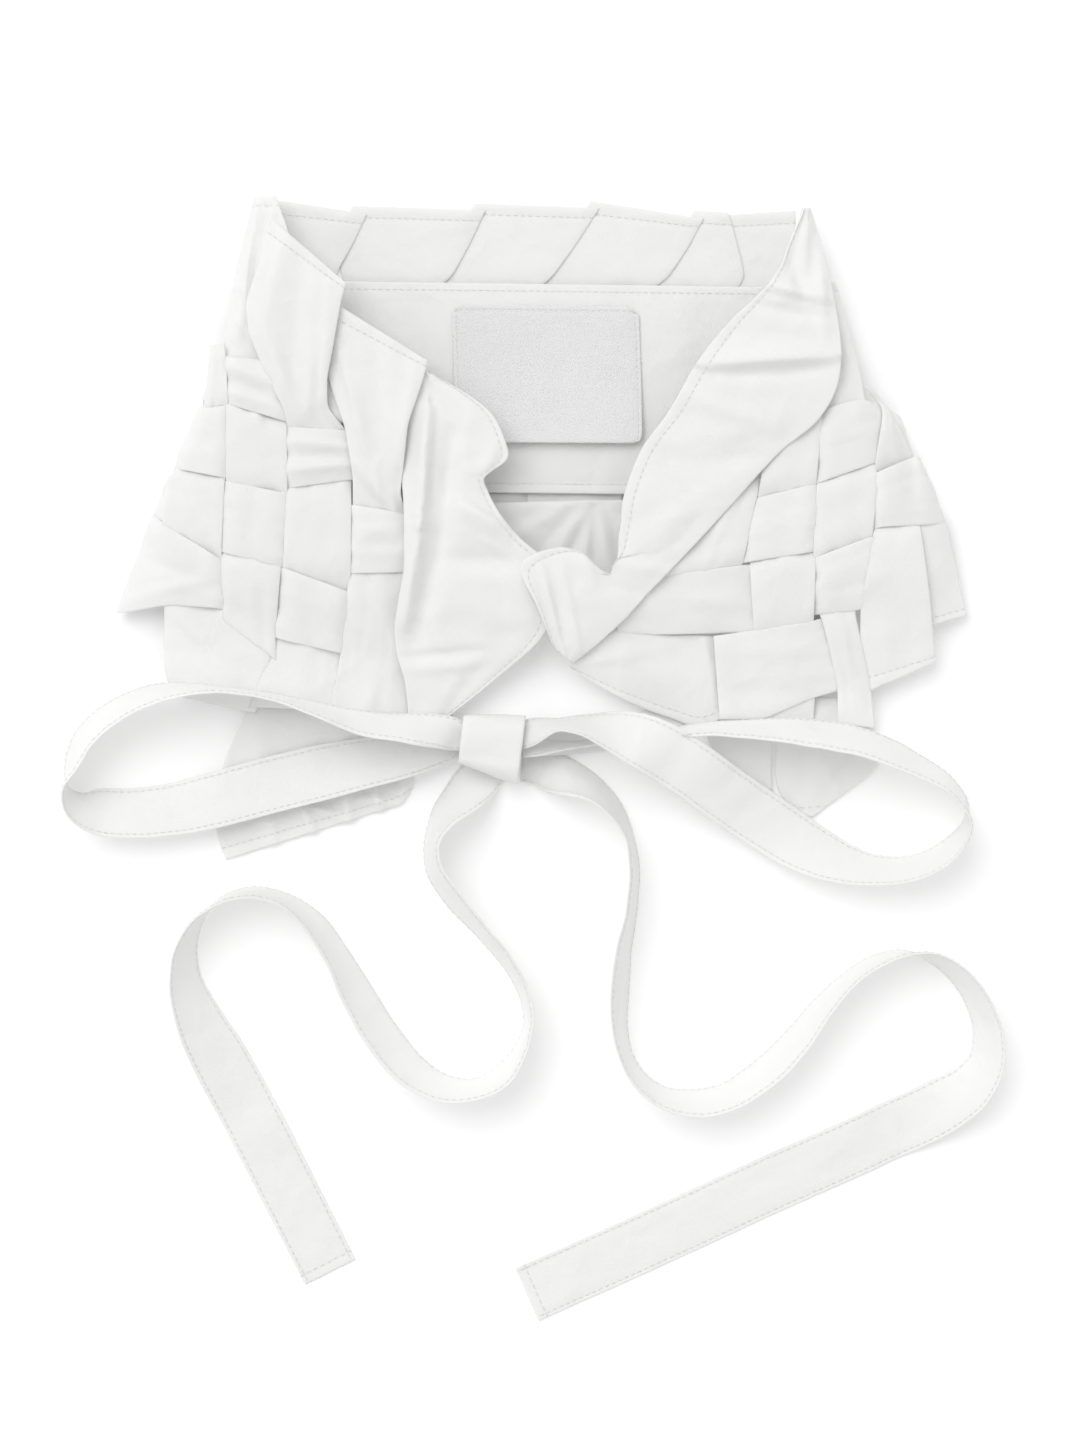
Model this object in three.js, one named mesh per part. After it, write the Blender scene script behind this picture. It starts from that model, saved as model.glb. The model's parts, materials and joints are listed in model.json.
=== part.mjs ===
// A detachable collar of white cotton, lying flat with its ribbon tied in a bow.
// Millimetres. +X is the right as it lies, +Y runs up to the neck edge, +Z is up from the surface.
// The back lies on the surface. The two fronts fold over it, which leaves the neck hollow between.
import * as THREE from "three";

// Driving dimensions
const CLOTH = 1.1; // thickness of a wall of cloth
const RIBBON_WIDE = 24; // full width of the tie
const WEAVE_RISE = 1.6; // how far a woven strip lies above or below the middle of the weave
const BACK_LOW = CLOTH / 2; // middle of a back strip that lies on the surface
const BACK_HIGH = BACK_LOW + 2; // middle of a back strip that passes over a band
const FACING_LEVEL = 4.4;
const LABEL_LEVEL = 5.8;
const LABEL_THICK = 0.9;

// The fronts: the middle of the weave stands this high over the hollow, and rounds down to the sides
const FRONT = {
  high: 18, // over the neck hollow
  side: 9, // at the folded sides
  roundness: 36, // how far in from the side the rounding reaches
  hemFrom: 75, // below this y the fronts sink towards the hem
  hemSlope: 0.2,
};
const TOP_Y = 238;
const SIDE = {
  left: { top: -113, flare: 0.345 },
  right: { top: 113, flare: 0.41 },
};

const COTTON = { color: 0xf4f4f2, roughness: 0.85, metalness: 0 };
const TAPE = { color: 0xececec, roughness: 0.75, metalness: 0 };

// Height of the middle of the front weave over the surface
function frontLevel(x, y) {
  const leftSide = SIDE.left.top - (TOP_Y - y) * SIDE.left.flare;
  const rightSide = SIDE.right.top + (TOP_Y - y) * SIDE.right.flare;
  const inside = Math.min(x - leftSide, rightSide - x);
  const reach = 1 - THREE.MathUtils.clamp(inside / FRONT.roundness, 0, 1);
  const round = FRONT.side + (FRONT.high - FRONT.side) * Math.sqrt(1 - reach * reach);
  return round - FRONT.hemSlope * Math.max(0, FRONT.hemFrom - y);
}

const onSurface = () => 0;

// Reads a column of a table between its rows, and past its ends
function read(rows, key, column, at) {
  let index = 0;
  const rising = rows[1][key] > rows[0][key];
  while (index < rows.length - 2 && (rising ? at > rows[index + 1][key] : at < rows[index + 1][key])) {
    index += 1;
  }
  const from = rows[index];
  const to = rows[index + 1];
  const share = (at - from[key]) / (to[key] - from[key]);
  return from[column] + (to[column] - from[column]) * share;
}

// A closed wall of cloth round a grid of points that runs through its middle
function clothWall(grid, thick) {
  const rows = grid.length;
  const columns = grid[0].length;
  const half = thick / 2;
  const points = [];
  for (const side of [half, -half]) {
    for (let r = 0; r < rows; r += 1) {
      for (let c = 0; c < columns; c += 1) {
        const along = grid[Math.min(r + 1, rows - 1)][c].clone().sub(grid[Math.max(r - 1, 0)][c]);
        const across = grid[r][Math.min(c + 1, columns - 1)].clone().sub(grid[r][Math.max(c - 1, 0)]);
        const normal = along.cross(across).normalize();
        points.push(grid[r][c].clone().addScaledVector(normal, side));
      }
    }
  }
  const faces = [];
  const top = (r, c) => r * columns + c;
  const under = (r, c) => rows * columns + r * columns + c;
  const quad = (a, b, c, d) => faces.push([a, b, c], [a, c, d]);
  for (let r = 0; r < rows - 1; r += 1) {
    for (let c = 0; c < columns - 1; c += 1) {
      quad(top(r, c), top(r + 1, c), top(r + 1, c + 1), top(r, c + 1));
      quad(under(r, c), under(r, c + 1), under(r + 1, c + 1), under(r + 1, c));
    }
    quad(top(r, 0), under(r, 0), under(r + 1, 0), top(r + 1, 0));
    quad(top(r, columns - 1), top(r + 1, columns - 1), under(r + 1, columns - 1), under(r, columns - 1));
  }
  for (let c = 0; c < columns - 1; c += 1) {
    quad(top(0, c), top(0, c + 1), under(0, c + 1), under(0, c));
    quad(top(rows - 1, c), under(rows - 1, c), under(rows - 1, c + 1), top(rows - 1, c + 1));
  }
  return closedBody(points, faces);
}

// Turns points and triangles into a geometry whose faces point outwards
function closedBody(points, faces) {
  let volume = 0;
  for (const [a, b, c] of faces) {
    volume += points[a].dot(points[b].clone().cross(points[c]));
  }
  const geometry = new THREE.BufferGeometry();
  geometry.setAttribute("position", new THREE.Float32BufferAttribute(points.flatMap((p) => [p.x, p.y, p.z]), 3));
  geometry.setIndex(faces.flatMap(([a, b, c]) => (volume > 0 ? [a, b, c] : [a, c, b])));
  geometry.computeVertexNormals();
  return geometry;
}

// Rungs of a panel, from rows that give both its edges; up is the height over `level`
function panelRungs(rows, level) {
  return rows.map((row) => ({
    left: new THREE.Vector3(row.lx, row.ly, level(row.lx, row.ly) + row.lu),
    right: new THREE.Vector3(row.rx, row.ry, level(row.rx, row.ry) + row.ru),
  }));
}

// The grid of a wall between its rungs; `steps` rows per rung, on smooth curves along both edges
function rungGrid(rungs, columns, steps = 1, relief = () => 0) {
  const sampled = steps === 1 ? rungs : smoothRungs(rungs, steps);
  return sampled.map((rung) => {
    const line = [];
    for (let c = 0; c < columns; c += 1) {
      const point = rung.left.clone().lerp(rung.right, c / (columns - 1));
      point.z += relief(point.x, point.y);
      line.push(point);
    }
    return line;
  });
}

function smoothRungs(rungs, steps) {
  const leftEdge = new THREE.CatmullRomCurve3(rungs.map((rung) => rung.left));
  const rightEdge = new THREE.CatmullRomCurve3(rungs.map((rung) => rung.right));
  const count = (rungs.length - 1) * steps;
  const out = [];
  for (let i = 0; i <= count; i += 1) {
    out.push({ left: leftEdge.getPoint(i / count), right: rightEdge.getPoint(i / count) });
  }
  return out;
}

// Folds of a panel: each is a ridge, or a valley where its height is below 0, along a line
function foldRelief(folds) {
  return (x, y) => {
    let height = 0;
    for (const fold of folds) {
      const line = new THREE.Vector2(fold.x1 - fold.x0, fold.y1 - fold.y0);
      const to = new THREE.Vector2(x - fold.x0, y - fold.y0);
      const along = THREE.MathUtils.clamp(to.dot(line) / line.lengthSq(), 0, 1);
      const away = to.sub(line.multiplyScalar(along)).length() / fold.wide;
      height += fold.high * Math.exp(-away * away);
    }
    return height;
  };
}

// The weave: upright strips have rows of left and right edges by y, bands have low and high edges by x
function crossing(strip, side, band, edge) {
  let y = (read(band.rows, "x", "low", 0) + read(band.rows, "x", "high", 0)) / 2;
  let x = 0;
  for (let turn = 0; turn < 12; turn += 1) {
    x = read(strip.rows, "y", side, y);
    y = read(band.rows, "x", edge, x);
  }
  return { x, y };
}

function middle(a, b) {
  return { x: (a.x + b.x) / 2, y: (a.y + b.y) / 2 };
}

function placed(spot, level, rise) {
  return new THREE.Vector3(spot.x, spot.y, level(spot.x, spot.y) + rise);
}

// A strip's rungs through every band that it crosses, from the top down
function stripRungs(strip, bands, level, rise) {
  const rungs = [];
  for (const band of bands) {
    const up = band.over.includes(strip.name) ? -rise.under : rise.over;
    const corners = ["left", "right"].map((side) => {
      const high = crossing(strip, side, band, "high");
      const low = crossing(strip, side, band, "low");
      return [high, middle(high, low), low];
    });
    for (let i = 0; i < 3; i += 1) {
      rungs.push({ left: placed(corners[0][i], level, up), right: placed(corners[1][i], level, up) });
    }
  }
  return rungs;
}

// A band's rungs through every strip that it crosses, from left to right
function bandRungs(band, strips, level, rise) {
  const rungs = [];
  for (const strip of strips) {
    const up = band.over.includes(strip.name) ? rise.over : -rise.under;
    const corners = ["high", "low"].map((edge) => {
      const left = crossing(strip, "left", band, edge);
      const right = crossing(strip, "right", band, edge);
      return [left, middle(left, right), right];
    });
    for (let i = 0; i < 3; i += 1) {
      rungs.push({ left: placed(corners[0][i], level, up), right: placed(corners[1][i], level, up) });
    }
  }
  return rungs;
}

const frontRise = { over: WEAVE_RISE, under: WEAVE_RISE };
const backLevel = () => BACK_LOW;
const backRise = { over: BACK_HIGH - BACK_LOW, under: 0 };

// Back strips: `rows` is their run through the bands, `top` their hemmed upper end, tilted so that
// each right edge lies over the next strip's left edge
const BACK_HEM_Y = 56;
const backStrips = [
  {
    name: "back_strip_1",
    rows: [{ y: 196, left: -112, right: -84 }, { y: BACK_HEM_Y, left: -138, right: -106 }],
    top: [
      { lx: -111, ly: 236.5, lu: 0, rx: -70.5, ry: 230, ru: 2.8 },
      { lx: -112, ly: 219, lu: 0, rx: -76, ry: 218, ru: 2.8 },
      { lx: -112, ly: 204, lu: 0, rx: -84, ry: 204, ru: 2.4 },
      { lx: -112, ly: 195, lu: 0, rx: -84, ry: 195, ru: 0 },
    ],
  },
  {
    name: "back_strip_2",
    rows: [{ y: 196, left: -77, right: -45 }, { y: BACK_HEM_Y, left: -97, right: -62 }],
    top: [
      { lx: -75.5, ly: 233.5, lu: 0, rx: -20.5, ry: 231.5, ru: 2.8 },
      { lx: -83, ly: 218, lu: 0, rx: -27, ry: 217.5, ru: 2.8 },
      { lx: -80, ly: 204, lu: 0, rx: -35, ry: 203, ru: 2.4 },
      { lx: -77, ly: 195, lu: 0, rx: -45, ry: 195, ru: 0 },
    ],
  },
  {
    name: "back_strip_3",
    rows: [{ y: 196, left: -37, right: -3 }, { y: BACK_HEM_Y, left: -52, right: -17 }],
    top: [
      { lx: -24, ly: 234.5, lu: 0, rx: 27.5, ry: 232.5, ru: 2.8 },
      { lx: -33, ly: 218, lu: 0, rx: 17.5, ry: 217, ru: 2.8 },
      { lx: -40, ly: 204, lu: 0, rx: 7, ry: 202.5, ru: 2.4 },
      { lx: -37, ly: 195, lu: 0, rx: -3, ry: 195, ru: 0 },
    ],
  },
  {
    name: "back_strip_4",
    rows: [{ y: 196, left: 5, right: 45 }, { y: BACK_HEM_Y, left: -6, right: 32 }],
    top: [
      { lx: 25, ly: 235.5, lu: 0, rx: 71.5, ry: 228, ru: 2.8 },
      { lx: 12, ly: 218, lu: 0, rx: 65, ry: 216, ru: 2.8 },
      { lx: 2, ly: 204, lu: 0, rx: 56, ry: 202.5, ru: 2.4 },
      { lx: 5, ly: 195, lu: 0, rx: 45, ry: 195, ru: 0 },
    ],
  },
  {
    name: "back_strip_5",
    rows: [{ y: 196, left: 54, right: 83 }, { y: BACK_HEM_Y, left: 48, right: 84 }],
    top: [
      { lx: 68.5, ly: 231.5, lu: 0, rx: 82, ry: 230.5, ru: 2.8 },
      { lx: 60, ly: 217, lu: 0, rx: 86, ry: 216, ru: 2.8 },
      { lx: 51, ly: 204, lu: 0, rx: 89, ry: 203, ru: 2.4 },
      { lx: 54, ly: 195, lu: 0, rx: 83, ry: 195, ru: 0 },
    ],
  },
  {
    name: "back_strip_6",
    rows: [{ y: 196, left: 91, right: 113 }, { y: BACK_HEM_Y, left: 98, right: 136 }],
    top: [
      { lx: 79, ly: 229.5, lu: 0, rx: 110, ry: 231.5, ru: 0 },
      { lx: 82, ly: 216, lu: 0, rx: 111, ry: 217, ru: 0 },
      { lx: 86, ly: 204, lu: 0, rx: 112, ry: 205, ru: 0 },
    ],
  },
];
const backBands = [
  { name: "back_band_1", left: -129.3, right: 126, high: 176, low: 152, endLow: 154, over: [1, 3, 5] },
  { name: "back_band_2", left: -135.6, right: 151.2, high: 144, low: 120, endLow: 126, over: [2, 4, 6] },
  { name: "back_band_3", left: -150.8, right: 136, high: 112, low: 88, endLow: 104, over: [1, 3, 5] },
  { name: "back_band_4", left: -163.4, right: 155.2, high: 81, low: 60, endLow: 70, over: [2, 4, 6] },
].map((band) => ({
  name: band.name,
  rows: [
    { x: band.left, low: band.endLow, high: band.high },
    { x: -126, low: band.low, high: band.high },
    { x: 124, low: band.low, high: band.high },
    { x: band.right, low: band.endLow, high: band.high },
  ],
  over: band.over.map((number) => `back_strip_${number}`),
}));

// Left front weave. `top` and `end` are the rungs past the weave, over the front level
const leftStrips = [
  {
    name: "left_strip_a",
    rows: [
      { y: 172, left: -135, right: -130 },
      { y: 150, left: -136, right: -128.5 },
      { y: 124, left: -146, right: -130 },
      { y: 118, left: -152.5, right: -131 },
      { y: 100, left: -154.5, right: -132.5 },
      { y: 66, left: -153, right: -131.5 },
    ],
    top: [{ lx: -134.5, ly: 174, lu: 1.6, rx: -130.5, ry: 174.5, ru: 1.6 }],
    end: [
      { lx: -153.3, ly: 58, lu: -1.2, rx: -130.5, ry: 60.5, ru: 0.4 },
      { lx: -153.3, ly: 49, lu: -0.8, rx: -119.5, ry: 52.4, ru: 0.6 },
      { lx: -153.2, ly: 40, lu: -0.5, rx: -110.3, ry: 44, ru: 0.6 },
      { lx: -152, ly: 32, lu: -0.5, rx: -113, ry: 31, ru: 0.6 },
      { lx: -146, ly: 26, lu: -0.5, rx: -118, ry: 20, ru: 0.6 },
    ],
  },
  {
    name: "left_strip_b",
    rows: [
      { y: 168, left: -128, right: -104 },
      { y: 130, left: -126.8, right: -104 },
      { y: 112, left: -127, right: -104.4 },
      { y: 86, left: -128.6, right: -106 },
      { y: 52, left: -128.2, right: -109 },
    ],
    top: [
      { lx: -116.5, ly: 237, lu: -6, rx: -109, ry: 236.5, ru: -1 },
      { lx: -120.5, ly: 220, lu: -6, rx: -103, ry: 220, ru: -1 },
      { lx: -124.5, ly: 202, lu: -6, rx: -103, ry: 202, ru: -1 },
      { lx: -127.3, ly: 185, lu: -5, rx: -103, ry: 184, ru: -1 },
      { lx: -128.5, ly: 174, lu: -3, rx: -104, ry: 173, ru: -1.6 },
    ],
    end: [{ lx: -128.3, ly: 61.5, lu: 1, rx: -109, ry: 45.8, ru: 1 }],
  },
  {
    name: "left_strip_c",
    rows: [
      { y: 138, left: -101, right: -78 },
      { y: 118, left: -100.6, right: -77 },
      { y: 82, left: -103, right: -77 },
      { y: 46, left: -107, right: -80 },
    ],
    top: [
      { lx: -108, ly: 225.5, lu: 4, rx: -78.8, ry: 199.9, ru: 6 },
      { lx: -113, ly: 208, lu: 4, rx: -81, ry: 193, ru: 6 },
      { lx: -119, ly: 190.3, lu: 3.8, rx: -83, ry: 182, ru: 5.5 },
      { lx: -117, ly: 177, lu: 3.8, rx: -85, ry: 170, ru: 5 },
      { lx: -111, ly: 163, lu: 3.8, rx: -87, ry: 160, ru: 4.2 },
      { lx: -103, ly: 147.5, lu: 3.6, rx: -87, ry: 147, ru: 2.4 },
    ],
    end: [
      { lx: -109, ly: 36, lu: 1.4, rx: -80.5, ry: 32, ru: 0 },
      { lx: -110, ly: 23, lu: 1.4, rx: -82, ry: 21, ru: 0 },
    ],
  },
  {
    name: "left_strip_d",
    rows: [
      { y: 105, left: -74, right: -57 },
      { y: 79, left: -69.5, right: -58 },
      { y: 45, left: -78.5, right: -57.5 },
    ],
    top: [
      { lx: -80, ly: 189.5, lu: 2.4, rx: -44.7, ry: 168, ru: 6 },
      { lx: -87, ly: 176, lu: 1.2, rx: -46, ry: 165, ru: 6 },
      { lx: -88, ly: 164, lu: 0.8, rx: -50, ry: 152, ru: 6 },
      { lx: -84, ly: 157, lu: 2.2, rx: -53, ry: 142, ru: 6 },
      { lx: -77, ly: 138, lu: 3.8, rx: -54.5, ry: 128, ru: 5.2 },
      { lx: -74, ly: 119, lu: 3.6, rx: -56.5, ry: 112, ru: 2.4 },
    ],
    end: [{ lx: -84, ly: 20, lu: 1.4, rx: -55.5, ry: 19, ru: 1.2 }],
  },
];
const leftBands = [
  {
    name: "left_band_1",
    rows: [
      { x: -138, low: 152, high: 171 },
      { x: -128, low: 150.4, high: 167.6 },
      { x: -100, low: 142, high: 165 },
      { x: -78, low: 142.5, high: 158 },
    ],
    over: ["left_strip_b"],
    crosses: 3,
    wrap: [
      { lx: -130, ly: 171, rx: -134.5, ry: 153, z: 1.2 },
      { lx: -133.5, ly: 170, rx: -140, ry: 152.5, z: 6 },
    ],
  },
  {
    name: "left_band_2",
    rows: [
      { x: -150, low: 123.6, high: 145 },
      { x: -127, low: 119, high: 147.3 },
      { x: -104, low: 114.8, high: 138.2 },
      { x: -78, low: 118.5, high: 136.8 },
      { x: -62, low: 118, high: 134 },
    ],
    over: ["left_strip_a", "left_strip_c"],
    crosses: 3,
    wrap: [
      { lx: -134, ly: 149.5, rx: -146, ry: 122, z: 1.2 },
      { lx: -139.8, ly: 150, rx: -151.2, ry: 123.2, z: 7 },
    ],
    reach: [{ lx: -66, ly: 133, lu: -1.6, rx: -66, ry: 118.5, ru: -1.6 }],
  },
  {
    name: "left_band_3",
    rows: [
      { x: -154, low: 101, high: 118 },
      { x: -131, low: 88.5, high: 116 },
      { x: -103, low: 81.5, high: 110.3 },
      { x: -77, low: 79.4, high: 105.8 },
      { x: -53, low: 79.8, high: 102 },
    ],
    over: ["left_strip_b", "left_strip_d"],
    crosses: 4,
    wrap: [
      { lx: -150, ly: 117, rx: -155, ry: 102, z: 1.2 },
      { lx: -154.5, ly: 118, rx: -160.4, ry: 103, z: 5.5 },
    ],
    reach: [{ lx: -46, ly: 101, lu: 0.6, rx: -46, ry: 81, ru: 0.6 }],
  },
  {
    name: "left_band_4",
    rows: [
      { x: -154, low: 66.5, high: 97 },
      { x: -129, low: 64.5, high: 82 },
      { x: -107, low: 52, high: 80 },
      { x: -78, low: 45.4, high: 69.5 },
      { x: -58, low: 42, high: 64 },
    ],
    over: ["left_strip_a", "left_strip_c"],
    crosses: 4,
    wrap: [
      { lx: -157.5, ly: 101, rx: -170, ry: 64.5, z: 1.4 },
      { lx: -161, ly: 102.5, rx: -176.4, ry: 62.5, z: 6 },
    ],
  },
];

// Right front weave
const rightStrips = [
  {
    name: "right_strip_e",
    rows: [
      { y: 122, left: 84, right: 95 },
      { y: 100, left: 74, right: 90.5 },
      { y: 78, left: 62, right: 86 },
      { y: 57, left: 58, right: 78 },
    ],
    top: [{ lx: 86, ly: 126, lu: -1.2, rx: 97.3, ry: 124, ru: -1.6 }],
    end: [],
  },
  {
    name: "right_strip_d",
    rows: [
      { y: 145, left: 100, right: 120 },
      { y: 125, left: 98, right: 117.5 },
      { y: 100, left: 94, right: 118 },
      { y: 85, left: 92, right: 117.3 },
      { y: 54, left: 94, right: 116.5 },
      { y: 20, left: 97, right: 118 },
    ],
    top: [{ lx: 102, ly: 156, lu: 0, rx: 123, ry: 158, ru: 0 }],
    end: [{ lx: 98, ly: 14.5, lu: -1.2, rx: 117, ry: 17, ru: -1.2 }],
  },
  {
    name: "right_strip_b",
    rows: [
      { y: 150, left: 123.5, right: 138.5 },
      { y: 120, left: 120.5, right: 143.4 },
      { y: 85, left: 118.5, right: 140.5 },
      { y: 62, left: 121, right: 133 },
      { y: 45, left: 129, right: 139 },
      { y: 28, left: 129.5, right: 141 },
    ],
    top: [
      { lx: 104, ly: 201, lu: -1, rx: 126, ry: 201, ru: -5.5 },
      { lx: 108, ly: 190, lu: -1, rx: 129.5, ry: 190, ru: -5 },
      { lx: 114, ly: 175, lu: -1, rx: 133, ry: 175.5, ru: -4 },
      { lx: 118, ly: 160, lu: -1.6, rx: 136.6, ry: 160, ru: -2 },
    ],
    end: [{ lx: 129.5, ly: 15.5, lu: 1.4, rx: 142.5, ry: 13.5, ru: 1.2 }],
  },
  {
    name: "right_strip_c",
    rows: [
      { y: 143, left: 147.8, right: 151.5 },
      { y: 126, left: 148.6, right: 159.5 },
      { y: 119, left: 147.3, right: 160 },
      { y: 98, left: 148.5, right: 161.3 },
      { y: 65, left: 141, right: 165.5 },
    ],
    top: [{ lx: 140.5, ly: 156, lu: 1.2, rx: 142.5, ry: 155, ru: 0.6 }],
    end: [
      { lx: 140.5, ly: 50, lu: 0.8, rx: 167, ry: 50, ru: -0.6 },
      { lx: 142.5, ly: 29.5, lu: 0.8, rx: 168, ry: 40.5, ru: -1.2 },
    ],
  },
  {
    name: "right_strip_f",
    rows: [
      { y: 122, left: 161.6, right: 164 },
      { y: 105, left: 162.6, right: 171.5 },
      { y: 64, left: 167.6, right: 182 },
    ],
    top: [],
    end: [{ lx: 167.6, ly: 56.5, lu: -3, rx: 181.4, ry: 60.5, ru: -5 }],
  },
];
const rightBands = [
  {
    name: "right_band_1",
    rows: [
      { x: 96, low: 112, high: 137 },
      { x: 119, low: 117, high: 145 },
      { x: 140, low: 124.5, high: 150.6 },
      { x: 152, low: 129, high: 146 },
    ],
    over: ["right_strip_b"],
    strips: ["right_strip_d", "right_strip_b", "right_strip_c"],
    wrap: [
      { lx: 156, ly: 143, rx: 160.5, ry: 128.5, z: 6.5 },
      { lx: 152, ly: 143, rx: 156, ry: 129, z: 1.2 },
    ],
  },
  {
    name: "right_band_2",
    rows: [
      { x: 68, low: 80, high: 103 },
      { x: 94, low: 84.8, high: 108.6 },
      { x: 119, low: 88.6, high: 114.4 },
      { x: 144, low: 98.7, high: 119 },
      { x: 160, low: 99.7, high: 126 },
    ],
    over: ["right_strip_d", "right_strip_c", "right_strip_f"],
    strips: ["right_strip_e", "right_strip_d", "right_strip_b", "right_strip_c", "right_strip_f"],
    wrap: [
      { lx: 165.4, ly: 123, rx: 174, ry: 101, z: 8 },
      { lx: 162, ly: 122, rx: 170, ry: 102, z: 1.3 },
    ],
  },
  {
    name: "right_band_3",
    rows: [
      { x: 34, low: 53.5, high: 64 },
      { x: 61, low: 53.8, high: 75.5 },
      { x: 92, low: 54.5, high: 76.4 },
      { x: 117, low: 62, high: 82.7 },
      { x: 135, low: 63.5, high: 91 },
      { x: 156, low: 66, high: 95 },
    ],
    over: ["right_strip_e", "right_strip_b"],
    strips: ["right_strip_e", "right_strip_d", "right_strip_b", "right_strip_c"],
    laid: 3,
    start: [{ lx: 44, ly: 66, lu: 1.2, rx: 44, ry: 54, ru: 1.2 }],
    reach: [{ lx: 151, ly: 93.5, lu: -1.8, rx: 151, ry: 67, ru: -1.8 }],
    wrap: [
      { lx: 158, ly: 93.5, rx: 158, ry: 67, z: 8.5 },
      { lx: 160, ly: 93.5, rx: 160, ry: 67, z: 4.5 },
      { lx: 156, ly: 93.5, rx: 156, ry: 67, z: 1.2 },
    ],
  },
  {
    name: "right_band_4",
    rows: [
      { x: 77, low: 18, high: 51.5 },
      { x: 100, low: 18.5, high: 53.6 },
      { x: 124, low: 30, high: 53.8 },
      { x: 142, low: 32, high: 50 },
    ],
    over: ["right_strip_d"],
    strips: ["right_strip_d", "right_strip_b"],
    start: [{ lx: 76, ly: 50.6, lu: 1.6, rx: 78.5, ry: 18.2, ru: 1.6 }],
    wrap: [],
  },
];

// Smooth panels of the fronts
const leftFrontPanel = {
  name: "left_front_panel",
  rows: [
    { lx: -47, ly: 163, lu: 2, rx: -39, ry: 161.5, ru: 3 },
    { lx: -50, ly: 152, lu: 2, rx: -24, ry: 151, ru: 5 },
    { lx: -53, ly: 138, lu: 1.8, rx: -14, ry: 137.5, ru: 6 },
    { lx: -54.5, ly: 122, lu: 2, rx: -12, ry: 123, ru: 5 },
    { lx: -54, ly: 108, lu: 3.6, rx: -19.5, ry: 110, ru: 3.5 },
    { lx: -53.5, ly: 95, lu: 4, rx: -6, ry: 96, ru: 4 },
    { lx: -53.5, ly: 80, lu: 4, rx: 6, ry: 83, ru: 4 },
    { lx: -56, ly: 66, lu: 4, rx: 7, ry: 68, ru: 4 },
    { lx: -57.5, ly: 50, lu: 4, rx: 2, ry: 53, ru: 4 },
    { lx: -55, ly: 43, lu: 4, rx: -5, ry: 42, ru: 3.6 },
    { lx: -53.5, ly: 30, lu: 3.4, rx: -20, ry: 30, ru: 2.6 },
    { lx: -52, ly: 17, lu: 2.4, rx: -37, ry: 17, ru: 1.4 },
  ],
  folds: [
    { x0: -28, y0: 110, x1: -36, y1: 74, wide: 7, high: -2 },
    { x0: -44, y0: 120, x1: -46, y1: 70, wide: 9, high: 2 },
    { x0: -48, y0: 44, x1: -30, y1: 40, wide: 5, high: -1.4 },
  ],
};
const rightLapel = {
  name: "right_lapel",
  rows: [
    { lx: 113.8, ly: 231.5, lu: 2, rx: 116.6, ry: 232, ru: -1 },
    { lx: 109, ly: 219.5, lu: 2.4, rx: 119.5, ry: 222.5, ru: 0 },
    { lx: 103.5, ly: 206, lu: 3, rx: 122.8, ry: 210, ru: 1.5 },
    { lx: 95, ly: 195, lu: 5, rx: 126, ry: 195, ru: 3 },
    { lx: 83, ly: 183.5, lu: 6, rx: 128.6, ry: 177, ru: 4 },
    { lx: 69.2, ly: 166.6, lu: 6.5, rx: 127.6, ry: 158, ru: 4 },
    { lx: 57.3, ly: 146, lu: 6, rx: 117, ry: 141.5, ru: 4.2 },
    { lx: 44.8, ly: 128, lu: 6, rx: 99, ry: 126, ru: 4.2 },
    { lx: 38.2, ly: 110, lu: 6, rx: 95.5, ry: 112, ru: 4.2 },
    { lx: 36.5, ly: 96, lu: 6, rx: 82, ry: 97.5, ru: 4.2 },
    { lx: 33, ly: 84.8, lu: 5, rx: 70.5, ry: 90, ru: 4.4 },
    { lx: 22.5, ly: 86.5, lu: 4.6, rx: 62.5, ry: 79.5, ru: 4.6 },
    { lx: 12, ly: 88.8, lu: 6, rx: 50.5, ry: 68.5, ru: 5 },
    { lx: -5, ly: 79.5, lu: 8, rx: 36, ry: 53.5, ru: 6 },
    { lx: 1.5, ly: 65, lu: 8, rx: 26, ry: 46, ru: 6.4 },
    { lx: 9, ly: 47, lu: 7.4, rx: 17.5, ry: 41, ru: 6.6 },
  ],
  folds: [
    { x0: 70, y0: 164, x1: 118, y1: 163, wide: 9, high: 2.4 },
    { x0: 60, y0: 118, x1: 100, y1: 133, wide: 10, high: -1.4 },
    { x0: 48, y0: 92, x1: 76, y1: 106, wide: 8, high: 1.6 },
  ],
};
const rightFrontPanel = {
  name: "right_front_panel",
  rows: [
    { lx: 16.5, ly: 41.5, lu: 0, rx: 15.5, ry: 38.8, ru: 0 },
    { lx: 37, ly: 50, lu: -0.8, rx: 37, ry: 26, ru: -1.4 },
    { lx: 58, ly: 52.2, lu: -1.2, rx: 58, ry: 17.8, ru: -1.8 },
    { lx: 71, ly: 52.4, lu: -1.2, rx: 72, ry: 14, ru: -1.2 },
    { lx: 83, ly: 50.5, lu: -1.6, rx: 83, ry: 20, ru: -1.2 },
  ],
  folds: [],
};

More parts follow.
